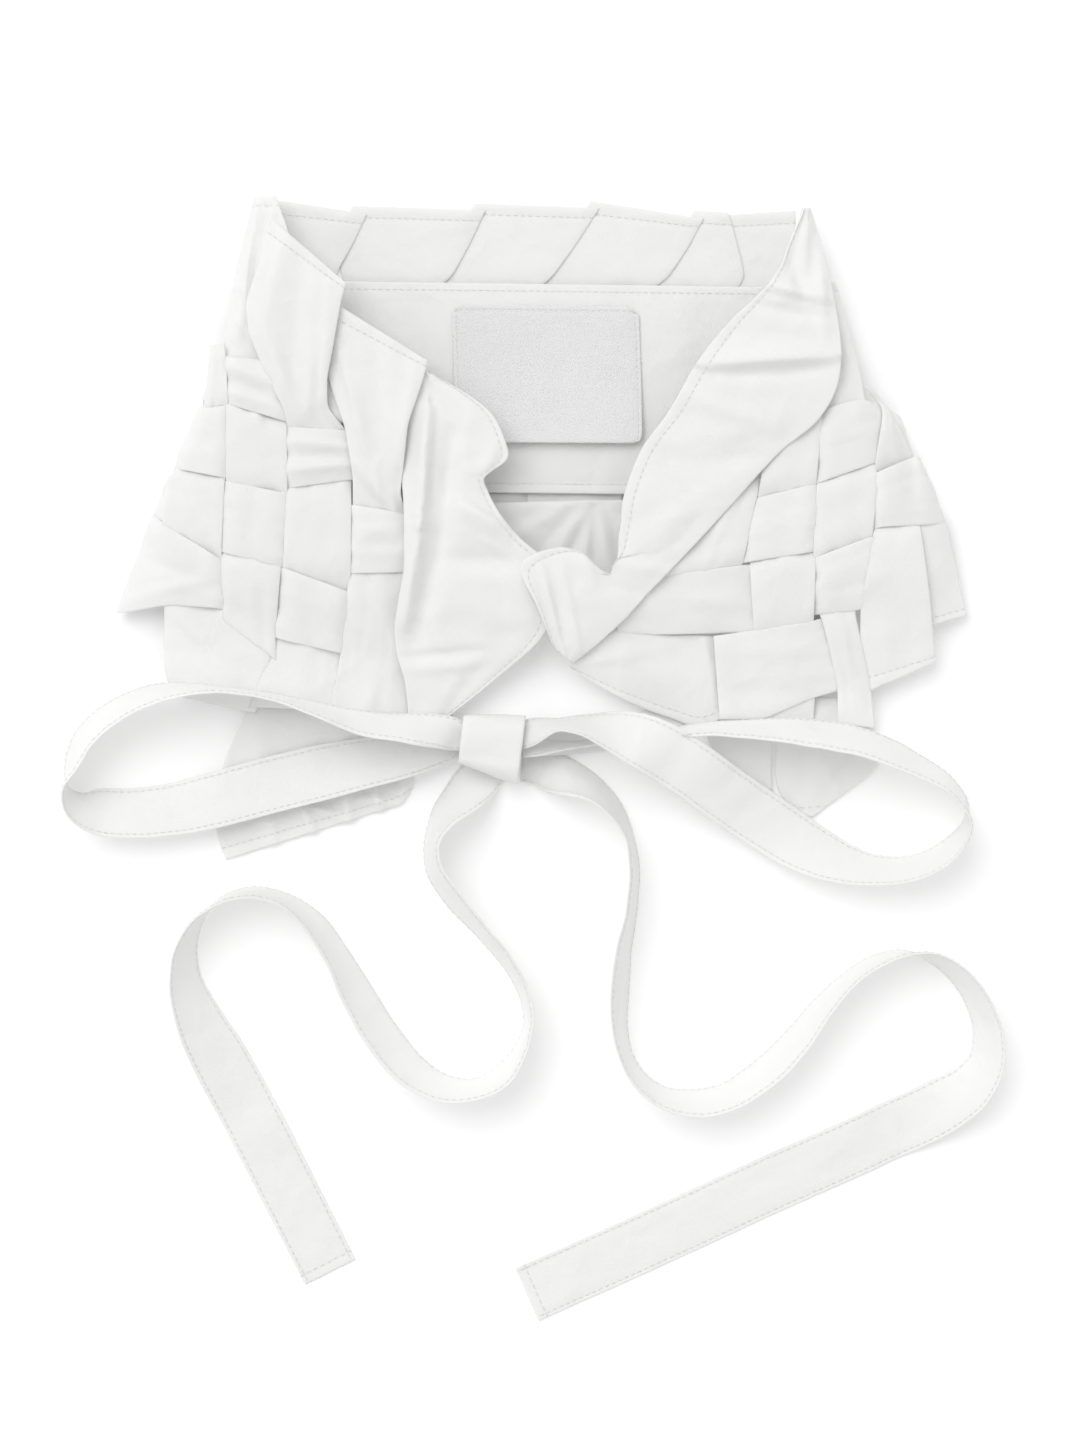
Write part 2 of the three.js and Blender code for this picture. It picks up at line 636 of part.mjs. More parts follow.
// Panels that lie low, with their heights over the surface
const lowPanels = [
  {
    name: "left_lower_panel",
    rows: [
      { lx: -117, ly: 28, lu: 3.4, rx: -50, ry: 24, ru: 3.4 },
      { lx: -120.5, ly: 19, lu: 3.2, rx: -50, ry: 14, ru: 3.2 },
      { lx: -130.5, ly: -4, lu: 2.6, rx: -50, ry: 0, ru: 2.6 },
      { lx: -133, ly: -29.8, lu: 1.8, rx: -50, ry: -9, ru: 2 },
      { lx: -129.3, ly: -42, lu: 1.1, rx: -49.8, ry: -16.8, ru: 1.1 },
    ],
    columns: 7,
    folds: [
      { x0: -118, y0: 26, x1: -112, y1: -34, wide: 6, high: 0.9 },
      { x0: -84, y0: 20, x1: -78, y1: -22, wide: 6, high: 0.9 },
    ],
  },
  {
    name: "right_lower_inner",
    rows: [
      { lx: 72, ly: 27, lu: 2.6, rx: 99.5, ry: 27, ru: 2.6 },
      { lx: 74, ly: 9, lu: 2.6, rx: 100.5, ry: 8, ru: 2.6 },
      { lx: 80, ly: -2, lu: 2, rx: 100.5, ry: -8, ru: 2 },
      { lx: 90, ly: -10, lu: 1.2, rx: 101.5, ry: -16, ru: 1.2 },
    ],
    columns: 3,
    folds: [],
  },
  {
    name: "right_lower_outer",
    rows: [
      { lx: 103, ly: 27, lu: 2.6, rx: 142, ry: 26, ru: 2.6 },
      { lx: 102.7, ly: 8, lu: 2.6, rx: 144, ry: 8, ru: 2.6 },
      { lx: 102.4, ly: -6.7, lu: 2.2, rx: 145, ry: -3, ru: 2.2 },
      { lx: 105.5, ly: -16, lu: 1.6, rx: 132, ry: -13.5, ru: 1.6 },
      { lx: 113.5, ly: -23.5, lu: 1, rx: 118, ry: -24, ru: 1 },
    ],
    columns: 5,
    folds: [{ x0: 122, y0: 26, x1: 118, y1: -18, wide: 7, high: 0.9 }],
  },
];
const neckFacing = [
  { lx: -89, ly: 201.5, lu: 0, rx: 97, ry: 199, ru: 0 },
  { lx: -84, ly: 160, lu: 0, rx: 88, ry: 160, ru: 0 },
  { lx: -66, ly: 113, lu: 0, rx: 68, ry: 111.5, ru: 0 },
];
const pleatedBack = {
  rows: [
    { lx: -34, ly: 108, lu: 0, rx: 46, ry: 109.5, ru: 0 },
    { lx: -34, ly: 84, lu: 0, rx: 50, ry: 84, ru: 0 },
    { lx: -30, ly: 62, lu: 0, rx: 52, ry: 62, ru: 0 },
  ],
  pleats: [
    { x0: 24, y0: 112, x1: 12, y1: 84, wide: 3.5, high: 0.7 },
    { x0: 25, y0: 112, x1: 28, y1: 84, wide: 3.5, high: 0.7 },
    { x0: 27, y0: 112, x1: 40, y1: 90, wide: 3.5, high: 0.7 },
  ],
};
const label = [
  { lx: -34, ly: 191.5, lu: 0, rx: 44.5, ry: 190.5, ru: 0 },
  { lx: -33, ly: 162, lu: 0.1, rx: 45.6, ry: 162, ru: 0.1 },
  { lx: -32.5, ly: 133.5, lu: 0.9, rx: 46.2, ry: 133, ru: 0.9 },
];

// The ribbon. lean is the turn of its width from lying flat, past 90 where it has turned over;
// its upper edge is on the left of its run below 90 and on the right above. lift is the height of
// its lower edge over the surface, and wide its width where it is crumpled.
const ribbons = [
  {
    name: "left_loop",
    steps: 2,
    rows: [
      { x: -20, y: 8.5, lean: 4, lift: 11.4, wide: 11 },
      { x: -27, y: 9.5, lean: 8, lift: 11, wide: 12 },
      { x: -31, y: 10.2, lean: 12, lift: 10.9, wide: 13 },
      { x: -36, y: 11.4, lean: 34, lift: 10.8, wide: 17 },
      { x: -50, y: 13, lean: 57, lift: 11, wide: 24 },
      { x: -70, y: 15.2, lean: 65, lift: 11.6, wide: 24 },
      { x: -90, y: 21, lean: 77, lift: 11.6, wide: 24 },
      { x: -105, y: 25.4, lean: 83, lift: 11.6, wide: 24 },
      { x: -120, y: 28.2, lean: 85, lift: 11.6, wide: 24 },
      { x: -137, y: 29.4, lean: 81, lift: 11.6, wide: 24 },
      { x: -156.9, y: 27.7, lean: 70, lift: 9, wide: 24 },
      { x: -173.5, y: 21.2, lean: 66, lift: 5, wide: 24 },
      { x: -187, y: 10, lean: 66, lift: 2, wide: 24 },
      { x: -193.6, y: -3.5, lean: 74, lift: 0.2, wide: 24 },
      { x: -195.4, y: -12, lean: 92, lift: 0.2, wide: 24 },
      { x: -191, y: -18.5, lean: 118, lift: 0.2, wide: 24 },
      { x: -182, y: -21.5, lean: 142, lift: 0.2, wide: 24 },
      { x: -170, y: -22.4, lean: 148, lift: 0.4, wide: 24 },
      { x: -152, y: -20.8, lean: 156, lift: 1.5, wide: 24 },
      { x: -132, y: -16.4, lean: 166, lift: 4.2, wide: 24 },
      { x: -111, y: -10.8, lean: 168, lift: 4.8, wide: 24 },
      { x: -90, y: -5.6, lean: 166, lift: 5, wide: 24 },
      { x: -71, y: -1.4, lean: 164, lift: 5, wide: 22 },
      { x: -52, y: 1.8, lean: 164, lift: 5.6, wide: 18 },
      { x: -37, y: 5.2, lean: 168, lift: 6.4, wide: 13 },
      { x: -28, y: 7.6, lean: 174, lift: 7.2, wide: 10 },
      { x: -20, y: 8, lean: 180, lift: 7.6, wide: 11 },
    ],
  },
  {
    name: "right_loop",
    steps: 2,
    rows: [
      { x: -12, y: 9, lean: 176, lift: 11.2, wide: 11 },
      { x: -6, y: 9.8, lean: 168, lift: 10.6, wide: 11 },
      { x: 2, y: 12.8, lean: 128, lift: 7, wide: 16 },
      { x: 9, y: 14.6, lean: 106, lift: 7, wide: 20 },
      { x: 18, y: 14.8, lean: 108, lift: 7.6, wide: 24 },
      { x: 34, y: 12, lean: 136, lift: 10, wide: 24 },
      { x: 50, y: 6, lean: 168, lift: 18.5, wide: 25 },
      { x: 65, y: -3, lean: 184, lift: 17, wide: 25 },
      { x: 81, y: -14.5, lean: 182, lift: 11.4, wide: 25 },
      { x: 98, y: -26, lean: 176, lift: 5, wide: 24.5 },
      { x: 115, y: -36.5, lean: 158, lift: 1, wide: 24 },
      { x: 131.7, y: -43.7, lean: 134, lift: 0.2, wide: 24 },
      { x: 149, y: -46.2, lean: 118, lift: 0.2, wide: 24 },
      { x: 164, y: -43.6, lean: 113, lift: 0.2, wide: 24 },
      { x: 176, y: -36, lean: 108, lift: 0.2, wide: 24 },
      { x: 182, y: -27, lean: 96, lift: 0.4, wide: 24 },
      { x: 181, y: -19, lean: 80, lift: 1.5, wide: 24 },
      { x: 174.5, y: -10.5, lean: 73, lift: 3.5, wide: 24 },
      { x: 160.5, y: -2, lean: 66, lift: 6.5, wide: 24 },
      { x: 139, y: 7, lean: 61, lift: 9.6, wide: 24 },
      { x: 115, y: 11.5, lean: 62, lift: 9.8, wide: 24 },
      { x: 91, y: 13, lean: 68, lift: 9.4, wide: 20 },
      { x: 70, y: 12.6, lean: 68, lift: 8.2, wide: 13 },
      { x: 50, y: 10, lean: 68, lift: 7.4, wide: 8.5 },
      { x: 30, y: 7.6, lean: 78, lift: 6, wide: 8 },
      { x: 12, y: 5.6, lean: 60, lift: 6, wide: 8 },
      { x: -2, y: 5.4, lean: 14, lift: 7.2, wide: 9 },
      { x: -12, y: 6, lean: 2, lift: 7.4, wide: 10 },
    ],
  },
  {
    name: "left_tail",
    steps: 2,
    rows: [
      { x: -14, y: 0.5, lean: 0, lift: 0.1, wide: 14 },
      { x: -21, y: -6.5, lean: 8, lift: 0.1, wide: 18 },
      { x: -29, y: -15, lean: 40, lift: 0.1, wide: 22 },
      { x: -37.5, y: -24, lean: 62, lift: 0.1, wide: 24 },
      { x: -42.2, y: -35, lean: 73, lift: 0.1, wide: 24 },
      { x: -41, y: -46, lean: 71, lift: 0.1, wide: 24 },
      { x: -34, y: -57, lean: 69, lift: 0.1, wide: 24 },
      { x: -23.5, y: -69, lean: 74, lift: 0.1, wide: 24 },
      { x: -11.3, y: -83.5, lean: 76, lift: 0.1, wide: 24 },
      { x: -3.8, y: -96.6, lean: 78.5, lift: 0.1, wide: 24 },
      { x: -1.3, y: -110, lean: 81, lift: 0.1, wide: 24 },
      { x: -4.3, y: -121.5, lean: 78, lift: 0.1, wide: 24 },
      { x: -12.5, y: -132.5, lean: 70, lift: 0.1, wide: 24 },
      { x: -25.4, y: -138.6, lean: 71, lift: 0.1, wide: 24 },
      { x: -39, y: -137.2, lean: 65, lift: 0.1, wide: 24 },
      { x: -51.6, y: -129.5, lean: 56, lift: 0.1, wide: 24 },
      { x: -63.6, y: -115, lean: 54, lift: 0.1, wide: 24 },
      { x: -73.7, y: -98.3, lean: 58, lift: 0.1, wide: 24 },
      { x: -82.7, y: -81.5, lean: 67, lift: 0.1, wide: 24 },
      { x: -92, y: -68.5, lean: 71, lift: 0.1, wide: 24 },
      { x: -103, y: -59.6, lean: 78, lift: 0.1, wide: 24 },
      { x: -115.8, y: -55.8, lean: 81, lift: 0.1, wide: 24 },
      { x: -128.7, y: -58.2, lean: 85, lift: 0.1, wide: 24 },
      { x: -139.4, y: -66.6, lean: 96, lift: 0.1, wide: 24 },
      { x: -145, y: -78, lean: 108, lift: 0.1, wide: 24 },
      { x: -145.6, y: -92, lean: 121, lift: 0.1, wide: 24 },
      { x: -140.5, y: -108, lean: 140, lift: 0.1, wide: 24 },
      { x: -131.5, y: -126, lean: 163, lift: 0.1, wide: 24 },
      { x: -121, y: -146, lean: 180, lift: 0.1, wide: 24 },
      { x: -103, y: -181, lean: 180, lift: 0.1, wide: 24 },
      { x: -85.3, y: -215.9, lean: 180, lift: 0.1, wide: 23.5 },
    ],
  },
  {
    name: "right_tail",
    steps: 2,
    rows: [
      { x: -4.8, y: -3.7, lean: 180, lift: 1, wide: 11 },
      { x: 3, y: -4.4, lean: 172, lift: 0.5, wide: 14 },
      { x: 13.5, y: -7, lean: 136, lift: 0.1, wide: 22 },
      { x: 25, y: -12, lean: 116, lift: 0.1, wide: 24 },
      { x: 34.5, y: -21, lean: 107, lift: 0.1, wide: 24 },
      { x: 39.8, y: -31, lean: 99, lift: 0.1, wide: 24 },
      { x: 42.2, y: -43, lean: 100, lift: 0.1, wide: 24 },
      { x: 41.6, y: -60, lean: 101, lift: 0.1, wide: 24 },
      { x: 38.1, y: -79.5, lean: 106, lift: 0.1, wide: 24 },
      { x: 36.3, y: -96.6, lean: 108, lift: 0.1, wide: 24 },
      { x: 36.2, y: -111.7, lean: 105, lift: 0.1, wide: 24 },
      { x: 39.5, y: -125.7, lean: 104, lift: 0.1, wide: 24 },
      { x: 46.8, y: -136.3, lean: 107, lift: 0.1, wide: 24 },
      { x: 57, y: -142.4, lean: 111, lift: 0.1, wide: 24 },
      { x: 69.5, y: -144, lean: 116, lift: 0.1, wide: 24 },
      { x: 81.5, y: -141.6, lean: 117, lift: 0.1, wide: 24 },
      { x: 94, y: -134, lean: 119, lift: 0.1, wide: 24 },
      { x: 110, y: -119, lean: 117, lift: 0.1, wide: 24 },
      { x: 122.5, y: -103, lean: 109, lift: 0.1, wide: 24 },
      { x: 135, y: -90.8, lean: 102, lift: 0.1, wide: 24 },
      { x: 146, y: -84, lean: 99, lift: 0.1, wide: 24 },
      { x: 156.5, y: -81.3, lean: 92, lift: 0.1, wide: 24 },
      { x: 167.5, y: -83.2, lean: 79, lift: 0.1, wide: 24 },
      { x: 179, y: -91, lean: 72, lift: 0.1, wide: 24 },
      { x: 187, y: -102.3, lean: 67, lift: 0.1, wide: 24 },
      { x: 191.2, y: -115, lean: 62, lift: 0.1, wide: 24 },
      { x: 190.4, y: -126.5, lean: 54, lift: 0.1, wide: 24 },
      { x: 184, y: -137, lean: 38, lift: 0.1, wide: 24 },
      { x: 172.7, y: -145.3, lean: 18, lift: 0.1, wide: 24 },
      { x: 150, y: -156.5, lean: 0, lift: 0.1, wide: 24 },
      { x: 100, y: -179, lean: 0, lift: 0.1, wide: 24 },
      { x: 50, y: -202, lean: 0, lift: 0.1, wide: 24 },
      { x: -2.3, y: -225.4, lean: 0, lift: 0.1, wide: 24 },
    ],
  },
  {
    name: "left_tie_end",
    steps: 1,
    rows: [
      { x: -20, y: 8.5, lean: 0, lift: 4.2, wide: 11 },
      { x: -29, y: 8.8, lean: 0, lift: 4.2, wide: 9 },
      { x: -38, y: 13, lean: 0, lift: 4.4, wide: 14 },
      { x: -46, y: 20, lean: 0, lift: 4.4, wide: 16 },
    ],
  },
  {
    name: "right_tie_end",
    steps: 1,
    rows: [
      { x: -12, y: 6.5, lean: 0, lift: 4.2, wide: 11 },
      { x: 0, y: 7, lean: 0, lift: 4, wide: 11 },
      { x: 24, y: 9, lean: 0, lift: 3, wide: 12 },
      { x: 46, y: 13, lean: 0, lift: 2, wide: 14 },
      { x: 63, y: 18, lean: 0, lift: 1.6, wide: 16 },
    ],
  },
];

// Rungs of a ribbon, square to its run
function ribbonRungs(ribbon) {
  const path = new THREE.CatmullRomCurve3(ribbon.rows.map((row) => new THREE.Vector3(row.x, row.y, row.lift)));
  const count = (ribbon.rows.length - 1) * ribbon.steps;
  const rungs = [];
  for (let i = 0; i <= count; i += 1) {
    const at = i / ribbon.steps;
    const row = ribbon.rows[Math.floor(at)];
    const next = ribbon.rows[Math.min(Math.floor(at) + 1, ribbon.rows.length - 1)];
    const share = at - Math.floor(at);
    const lean = THREE.MathUtils.degToRad(THREE.MathUtils.lerp(row.lean, next.lean, share));
    const half = Math.min(THREE.MathUtils.lerp(row.wide, next.wide, share), RIBBON_WIDE) / 2;
    const run = path.getTangent(i / count);
    const side = new THREE.Vector3(-run.y, run.x, 0).normalize();
    const rung = side.multiplyScalar(Math.cos(lean) * half).add(new THREE.Vector3(0, 0, Math.sin(lean) * half));
    const centre = path.getPoint(i / count);
    centre.z += Math.abs(Math.sin(lean)) * half + CLOTH / 2;
    rungs.push({ left: centre.clone().add(rung), right: centre.clone().sub(rung) });
  }
  return rungs;
}

// The knot: one turn of ribbon round the strands, as oval rings along its run
const knot = {
  bottom: 1.7,
  top: 17,
  sides: 16,
  sections: [
    { x: -30, low: -1.3, high: 18.9 },
    { x: -22, low: -4.2, high: 19.2 },
    { x: -13, low: -7.8, high: 19.2 },
    { x: -4.5, low: -10.6, high: 18.7 },
  ],
  slant: 0.12, // shift along x for each mm of y
};

function knotGeometry() {
  const points = [];
  const faces = [];
  const middleZ = (knot.bottom + knot.top) / 2;
  const halfZ = (knot.top - knot.bottom) / 2;
  const rings = [];
  for (const inset of [0, CLOTH]) {
    for (const section of knot.sections) {
      const middleY = (section.low + section.high) / 2;
      const halfY = (section.high - section.low) / 2;
      const ring = [];
      for (let i = 0; i < knot.sides; i += 1) {
        const turn = (i / knot.sides) * Math.PI * 2;
        const round = (value) => Math.sign(value) * Math.abs(value) ** 0.75;
        const y = middleY + round(Math.cos(turn)) * (halfY - inset);
        const z = middleZ + round(Math.sin(turn)) * (halfZ - inset);
        ring.push(points.push(new THREE.Vector3(section.x + (y - middleY) * knot.slant, y, z)) - 1);
      }
      rings.push(ring);
    }
  }
  const last = knot.sections.length - 1;
  const outer = rings.slice(0, last + 1);
  const inner = rings.slice(last + 1);
  const skin = (from, to) => {
    for (let i = 0; i < knot.sides; i += 1) {
      const j = (i + 1) % knot.sides;
      faces.push([from[i], to[i], to[j]], [from[i], to[j], from[j]]);
    }
  };
  for (let s = 0; s < last; s += 1) {
    skin(outer[s], outer[s + 1]);
    skin(inner[s + 1], inner[s]);
  }
  skin(outer[last], inner[last]);
  skin(inner[0], outer[0]);
  return closedBody(points, faces);
}

// Folded side of a band: rungs whose height over the surface is given for both edges
function wrapRungs(rows) {
  return rows.map((row) => ({
    left: new THREE.Vector3(row.lx, row.ly, row.z),
    right: new THREE.Vector3(row.rx, row.ry, row.z),
  }));
}

const collar = new THREE.Group();

function addPiece(name, geometry, look = COTTON) {
  const mesh = new THREE.Mesh(geometry, new THREE.MeshStandardMaterial(look));
  mesh.name = name;
  collar.add(mesh);
}

for (const strip of backStrips) {
  const rungs = panelRungs(strip.top, backLevel)
    .concat(stripRungs(strip, backBands, backLevel, backRise))
    .concat(panelRungs([{
      lx: read(strip.rows, "y", "left", BACK_HEM_Y),
      ly: BACK_HEM_Y,
      lu: 0,
      rx: read(strip.rows, "y", "right", BACK_HEM_Y),
      ry: BACK_HEM_Y,
      ru: 0,
    }], backLevel));
  addPiece(strip.name, clothWall(rungGrid(rungs, 2), CLOTH));
}
for (const band of backBands) {
  const ends = [band.rows[0], band.rows[3]];
  const [start, end] = panelRungs(
    ends.map((row) => ({ lx: row.x, ly: row.high, lu: 0, rx: row.x, ry: row.low, ru: 0 })),
    backLevel,
  );
  const rungs = [start, ...bandRungs(band, backStrips, backLevel, backRise), end];
  addPiece(band.name, clothWall(rungGrid(rungs, 2), CLOTH));
}
addPiece("neck_facing", clothWall(rungGrid(panelRungs(neckFacing, () => FACING_LEVEL), 2), CLOTH));
addPiece("woven_label", clothWall(rungGrid(panelRungs(label, () => LABEL_LEVEL), 2), LABEL_THICK), TAPE);
addPiece("pleated_back_panel", clothWall(
  rungGrid(panelRungs(pleatedBack.rows, () => FACING_LEVEL), 13, 3, foldRelief(pleatedBack.pleats)),
  CLOTH,
));

for (const strip of leftStrips) {
  const bands = strip.name === "left_strip_d" ? leftBands.slice(2) : leftBands;
  const crossed = strip.name === "left_strip_c" ? bands.slice(1) : bands;
  const rungs = panelRungs(strip.top, frontLevel)
    .concat(stripRungs(strip, crossed, frontLevel, frontRise))
    .concat(panelRungs(strip.end, frontLevel));
  addPiece(strip.name, clothWall(rungGrid(rungs, 3), CLOTH));
}
for (const band of leftBands) {
  const rungs = wrapRungs(band.wrap)
    .concat(bandRungs(band, leftStrips.slice(0, band.crosses), frontLevel, frontRise))
    .concat(panelRungs(band.reach ?? [], frontLevel));
  addPiece(band.name, clothWall(rungGrid(rungs, 3), CLOTH));
}
for (const strip of rightStrips) {
  const bands = rightBands.filter((band) => band.strips.includes(strip.name));
  const rungs = panelRungs(strip.top, frontLevel)
    .concat(stripRungs(strip, bands, frontLevel, frontRise))
    .concat(panelRungs(strip.end, frontLevel));
  addPiece(strip.name, clothWall(rungGrid(rungs, 3), CLOTH));
}
for (const band of rightBands) {
  const strips = band.strips.map((name) => rightStrips.find((strip) => strip.name === name));
  const rungs = panelRungs(band.start ?? [], frontLevel)
    .concat(bandRungs(band, strips.slice(0, band.laid ?? strips.length), frontLevel, frontRise))
    .concat(panelRungs(band.reach ?? [], frontLevel))
    .concat(wrapRungs(band.wrap));
  addPiece(band.name, clothWall(rungGrid(rungs, 3), CLOTH));
}
for (const panel of [leftFrontPanel, rightLapel, rightFrontPanel]) {
  const rungs = panelRungs(panel.rows, frontLevel);
  addPiece(panel.name, clothWall(rungGrid(rungs, 7, 1, foldRelief(panel.folds)), CLOTH));
}
for (const panel of lowPanels) {
  const rungs = panelRungs(panel.rows, onSurface);
  addPiece(panel.name, clothWall(rungGrid(rungs, panel.columns, 2, foldRelief(panel.folds)), CLOTH));
}
for (const ribbon of ribbons) {
  addPiece(ribbon.name, clothWall(rungGrid(ribbonRungs(ribbon), 2), CLOTH));
}
addPiece("bow_knot", knotGeometry());

export default collar;
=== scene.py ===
# %% [markdown]
# # A detachable collar of woven cotton strips
#
# The real object is a white cotton collar that lies on a table. Folded strips are woven into an open
# lattice, the two fronts fold over the open neck, and a long cotton tie is knotted into a bow below it.
# Everything is cloth, so every piece here is a thin wall with two faces and soft edges.
#
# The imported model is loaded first. It fixes where every piece lies, in metres, with +Z up.

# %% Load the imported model
import json
import math
import bpy
import numpy as np
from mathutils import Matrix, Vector, noise

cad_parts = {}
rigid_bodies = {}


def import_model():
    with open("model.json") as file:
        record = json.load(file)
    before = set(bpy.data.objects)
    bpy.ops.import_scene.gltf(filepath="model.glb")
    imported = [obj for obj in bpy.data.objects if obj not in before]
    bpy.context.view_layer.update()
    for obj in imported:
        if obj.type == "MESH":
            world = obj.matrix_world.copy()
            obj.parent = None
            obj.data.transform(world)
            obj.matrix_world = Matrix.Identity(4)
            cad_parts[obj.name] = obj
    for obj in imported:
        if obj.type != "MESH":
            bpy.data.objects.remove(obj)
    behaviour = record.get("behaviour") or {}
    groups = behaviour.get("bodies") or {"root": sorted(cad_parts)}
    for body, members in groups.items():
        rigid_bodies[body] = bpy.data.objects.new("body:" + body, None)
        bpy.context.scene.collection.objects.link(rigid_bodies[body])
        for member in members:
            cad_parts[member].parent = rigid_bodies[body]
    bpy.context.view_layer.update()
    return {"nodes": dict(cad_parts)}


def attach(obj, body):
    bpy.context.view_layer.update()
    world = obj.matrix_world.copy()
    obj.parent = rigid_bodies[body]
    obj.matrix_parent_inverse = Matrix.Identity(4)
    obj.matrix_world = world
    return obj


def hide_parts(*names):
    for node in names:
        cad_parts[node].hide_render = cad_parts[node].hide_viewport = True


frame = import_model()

MM = 0.001


def set_inputs(node, values):
    """Give a node's inputs their values."""
    for name, value in values.items():
        node.inputs[name].default_value = value


print("packed nodes:", len(frame["nodes"]))

# %% [markdown]
# ## Camera
#
# A product photo like this is taken from straight above. A long lens keeps the heights of the ribbon
# from leaning outwards, so the camera stands far back and looks down on the middle of the picture.

# %% Camera
SENSOR, LENS = 36, 135  # mm
DISTANCE = 2.28  # m, from the middle of the collar's height
camera_data = bpy.data.cameras.new("camera")
camera_data.sensor_fit = "VERTICAL"
camera_data.sensor_height = SENSOR
camera_data.lens = LENS
camera_data.clip_end = 20
camera = bpy.data.objects.new("camera", camera_data)
camera.location = (4.4 * MM, 15.1 * MM, DISTANCE + 0.01)
bpy.context.collection.objects.link(camera)
bpy.context.scene.camera = camera
print("field of view, metres high:", round(SENSOR / LENS * DISTANCE, 3))

# %% [markdown]
# ## Light and table
#
# White cloth on a white table shows only by its shadows. An even white sky fills everything, and one
# wide soft sun from the upper left gives each fold a light side and a shaded side. The table is a pale
# light table: it glows a little, so the shadows on it stay faint, as in the photograph.

# %% Light and table
bpy.context.scene.view_settings.view_transform = "Standard"
world = bpy.data.worlds.new("studio")
world.use_nodes = True
set_inputs(world.node_tree.nodes["Background"], {"Color": (1.0, 1.0, 1.0, 1.0), "Strength": 0.7})
bpy.context.scene.world = world

sun_data = bpy.data.lights.new("soft_sun", "SUN")
sun_data.angle = math.radians(45)
sun_data.energy = 1.1
sun = bpy.data.objects.new("soft_sun", sun_data)
sun.rotation_euler = Vector((0.6, -0.8, -1.5)).to_track_quat("-Z", "Y").to_euler()
bpy.context.collection.objects.link(sun)

table_mesh = bpy.data.meshes.new("table")
table_mesh.from_pydata([(-4, -4, 0), (4, -4, 0), (4, 4, 0), (-4, 4, 0)], [], [(0, 1, 2, 3)])
table = bpy.data.objects.new("table", table_mesh)
bpy.context.collection.objects.link(table)
print("sky, sun and table are in place")

# %% [markdown]
# ## Cotton
#
# Cotton poplin is matt, with threads over and under each other that are finer than a pinhead, and with
# small soft creases where it has been folded and pressed. Both are the same in every piece, so they
# form one node group that gives a colour and a normal. The weave follows each piece's own UV map,
# which is laid out in metres, so the threads run along the strips. The creases read Object
# coordinates, because they come from handling the whole collar. The Principled shader stays in each
# material, with sheen for the fuzz of the fibres.

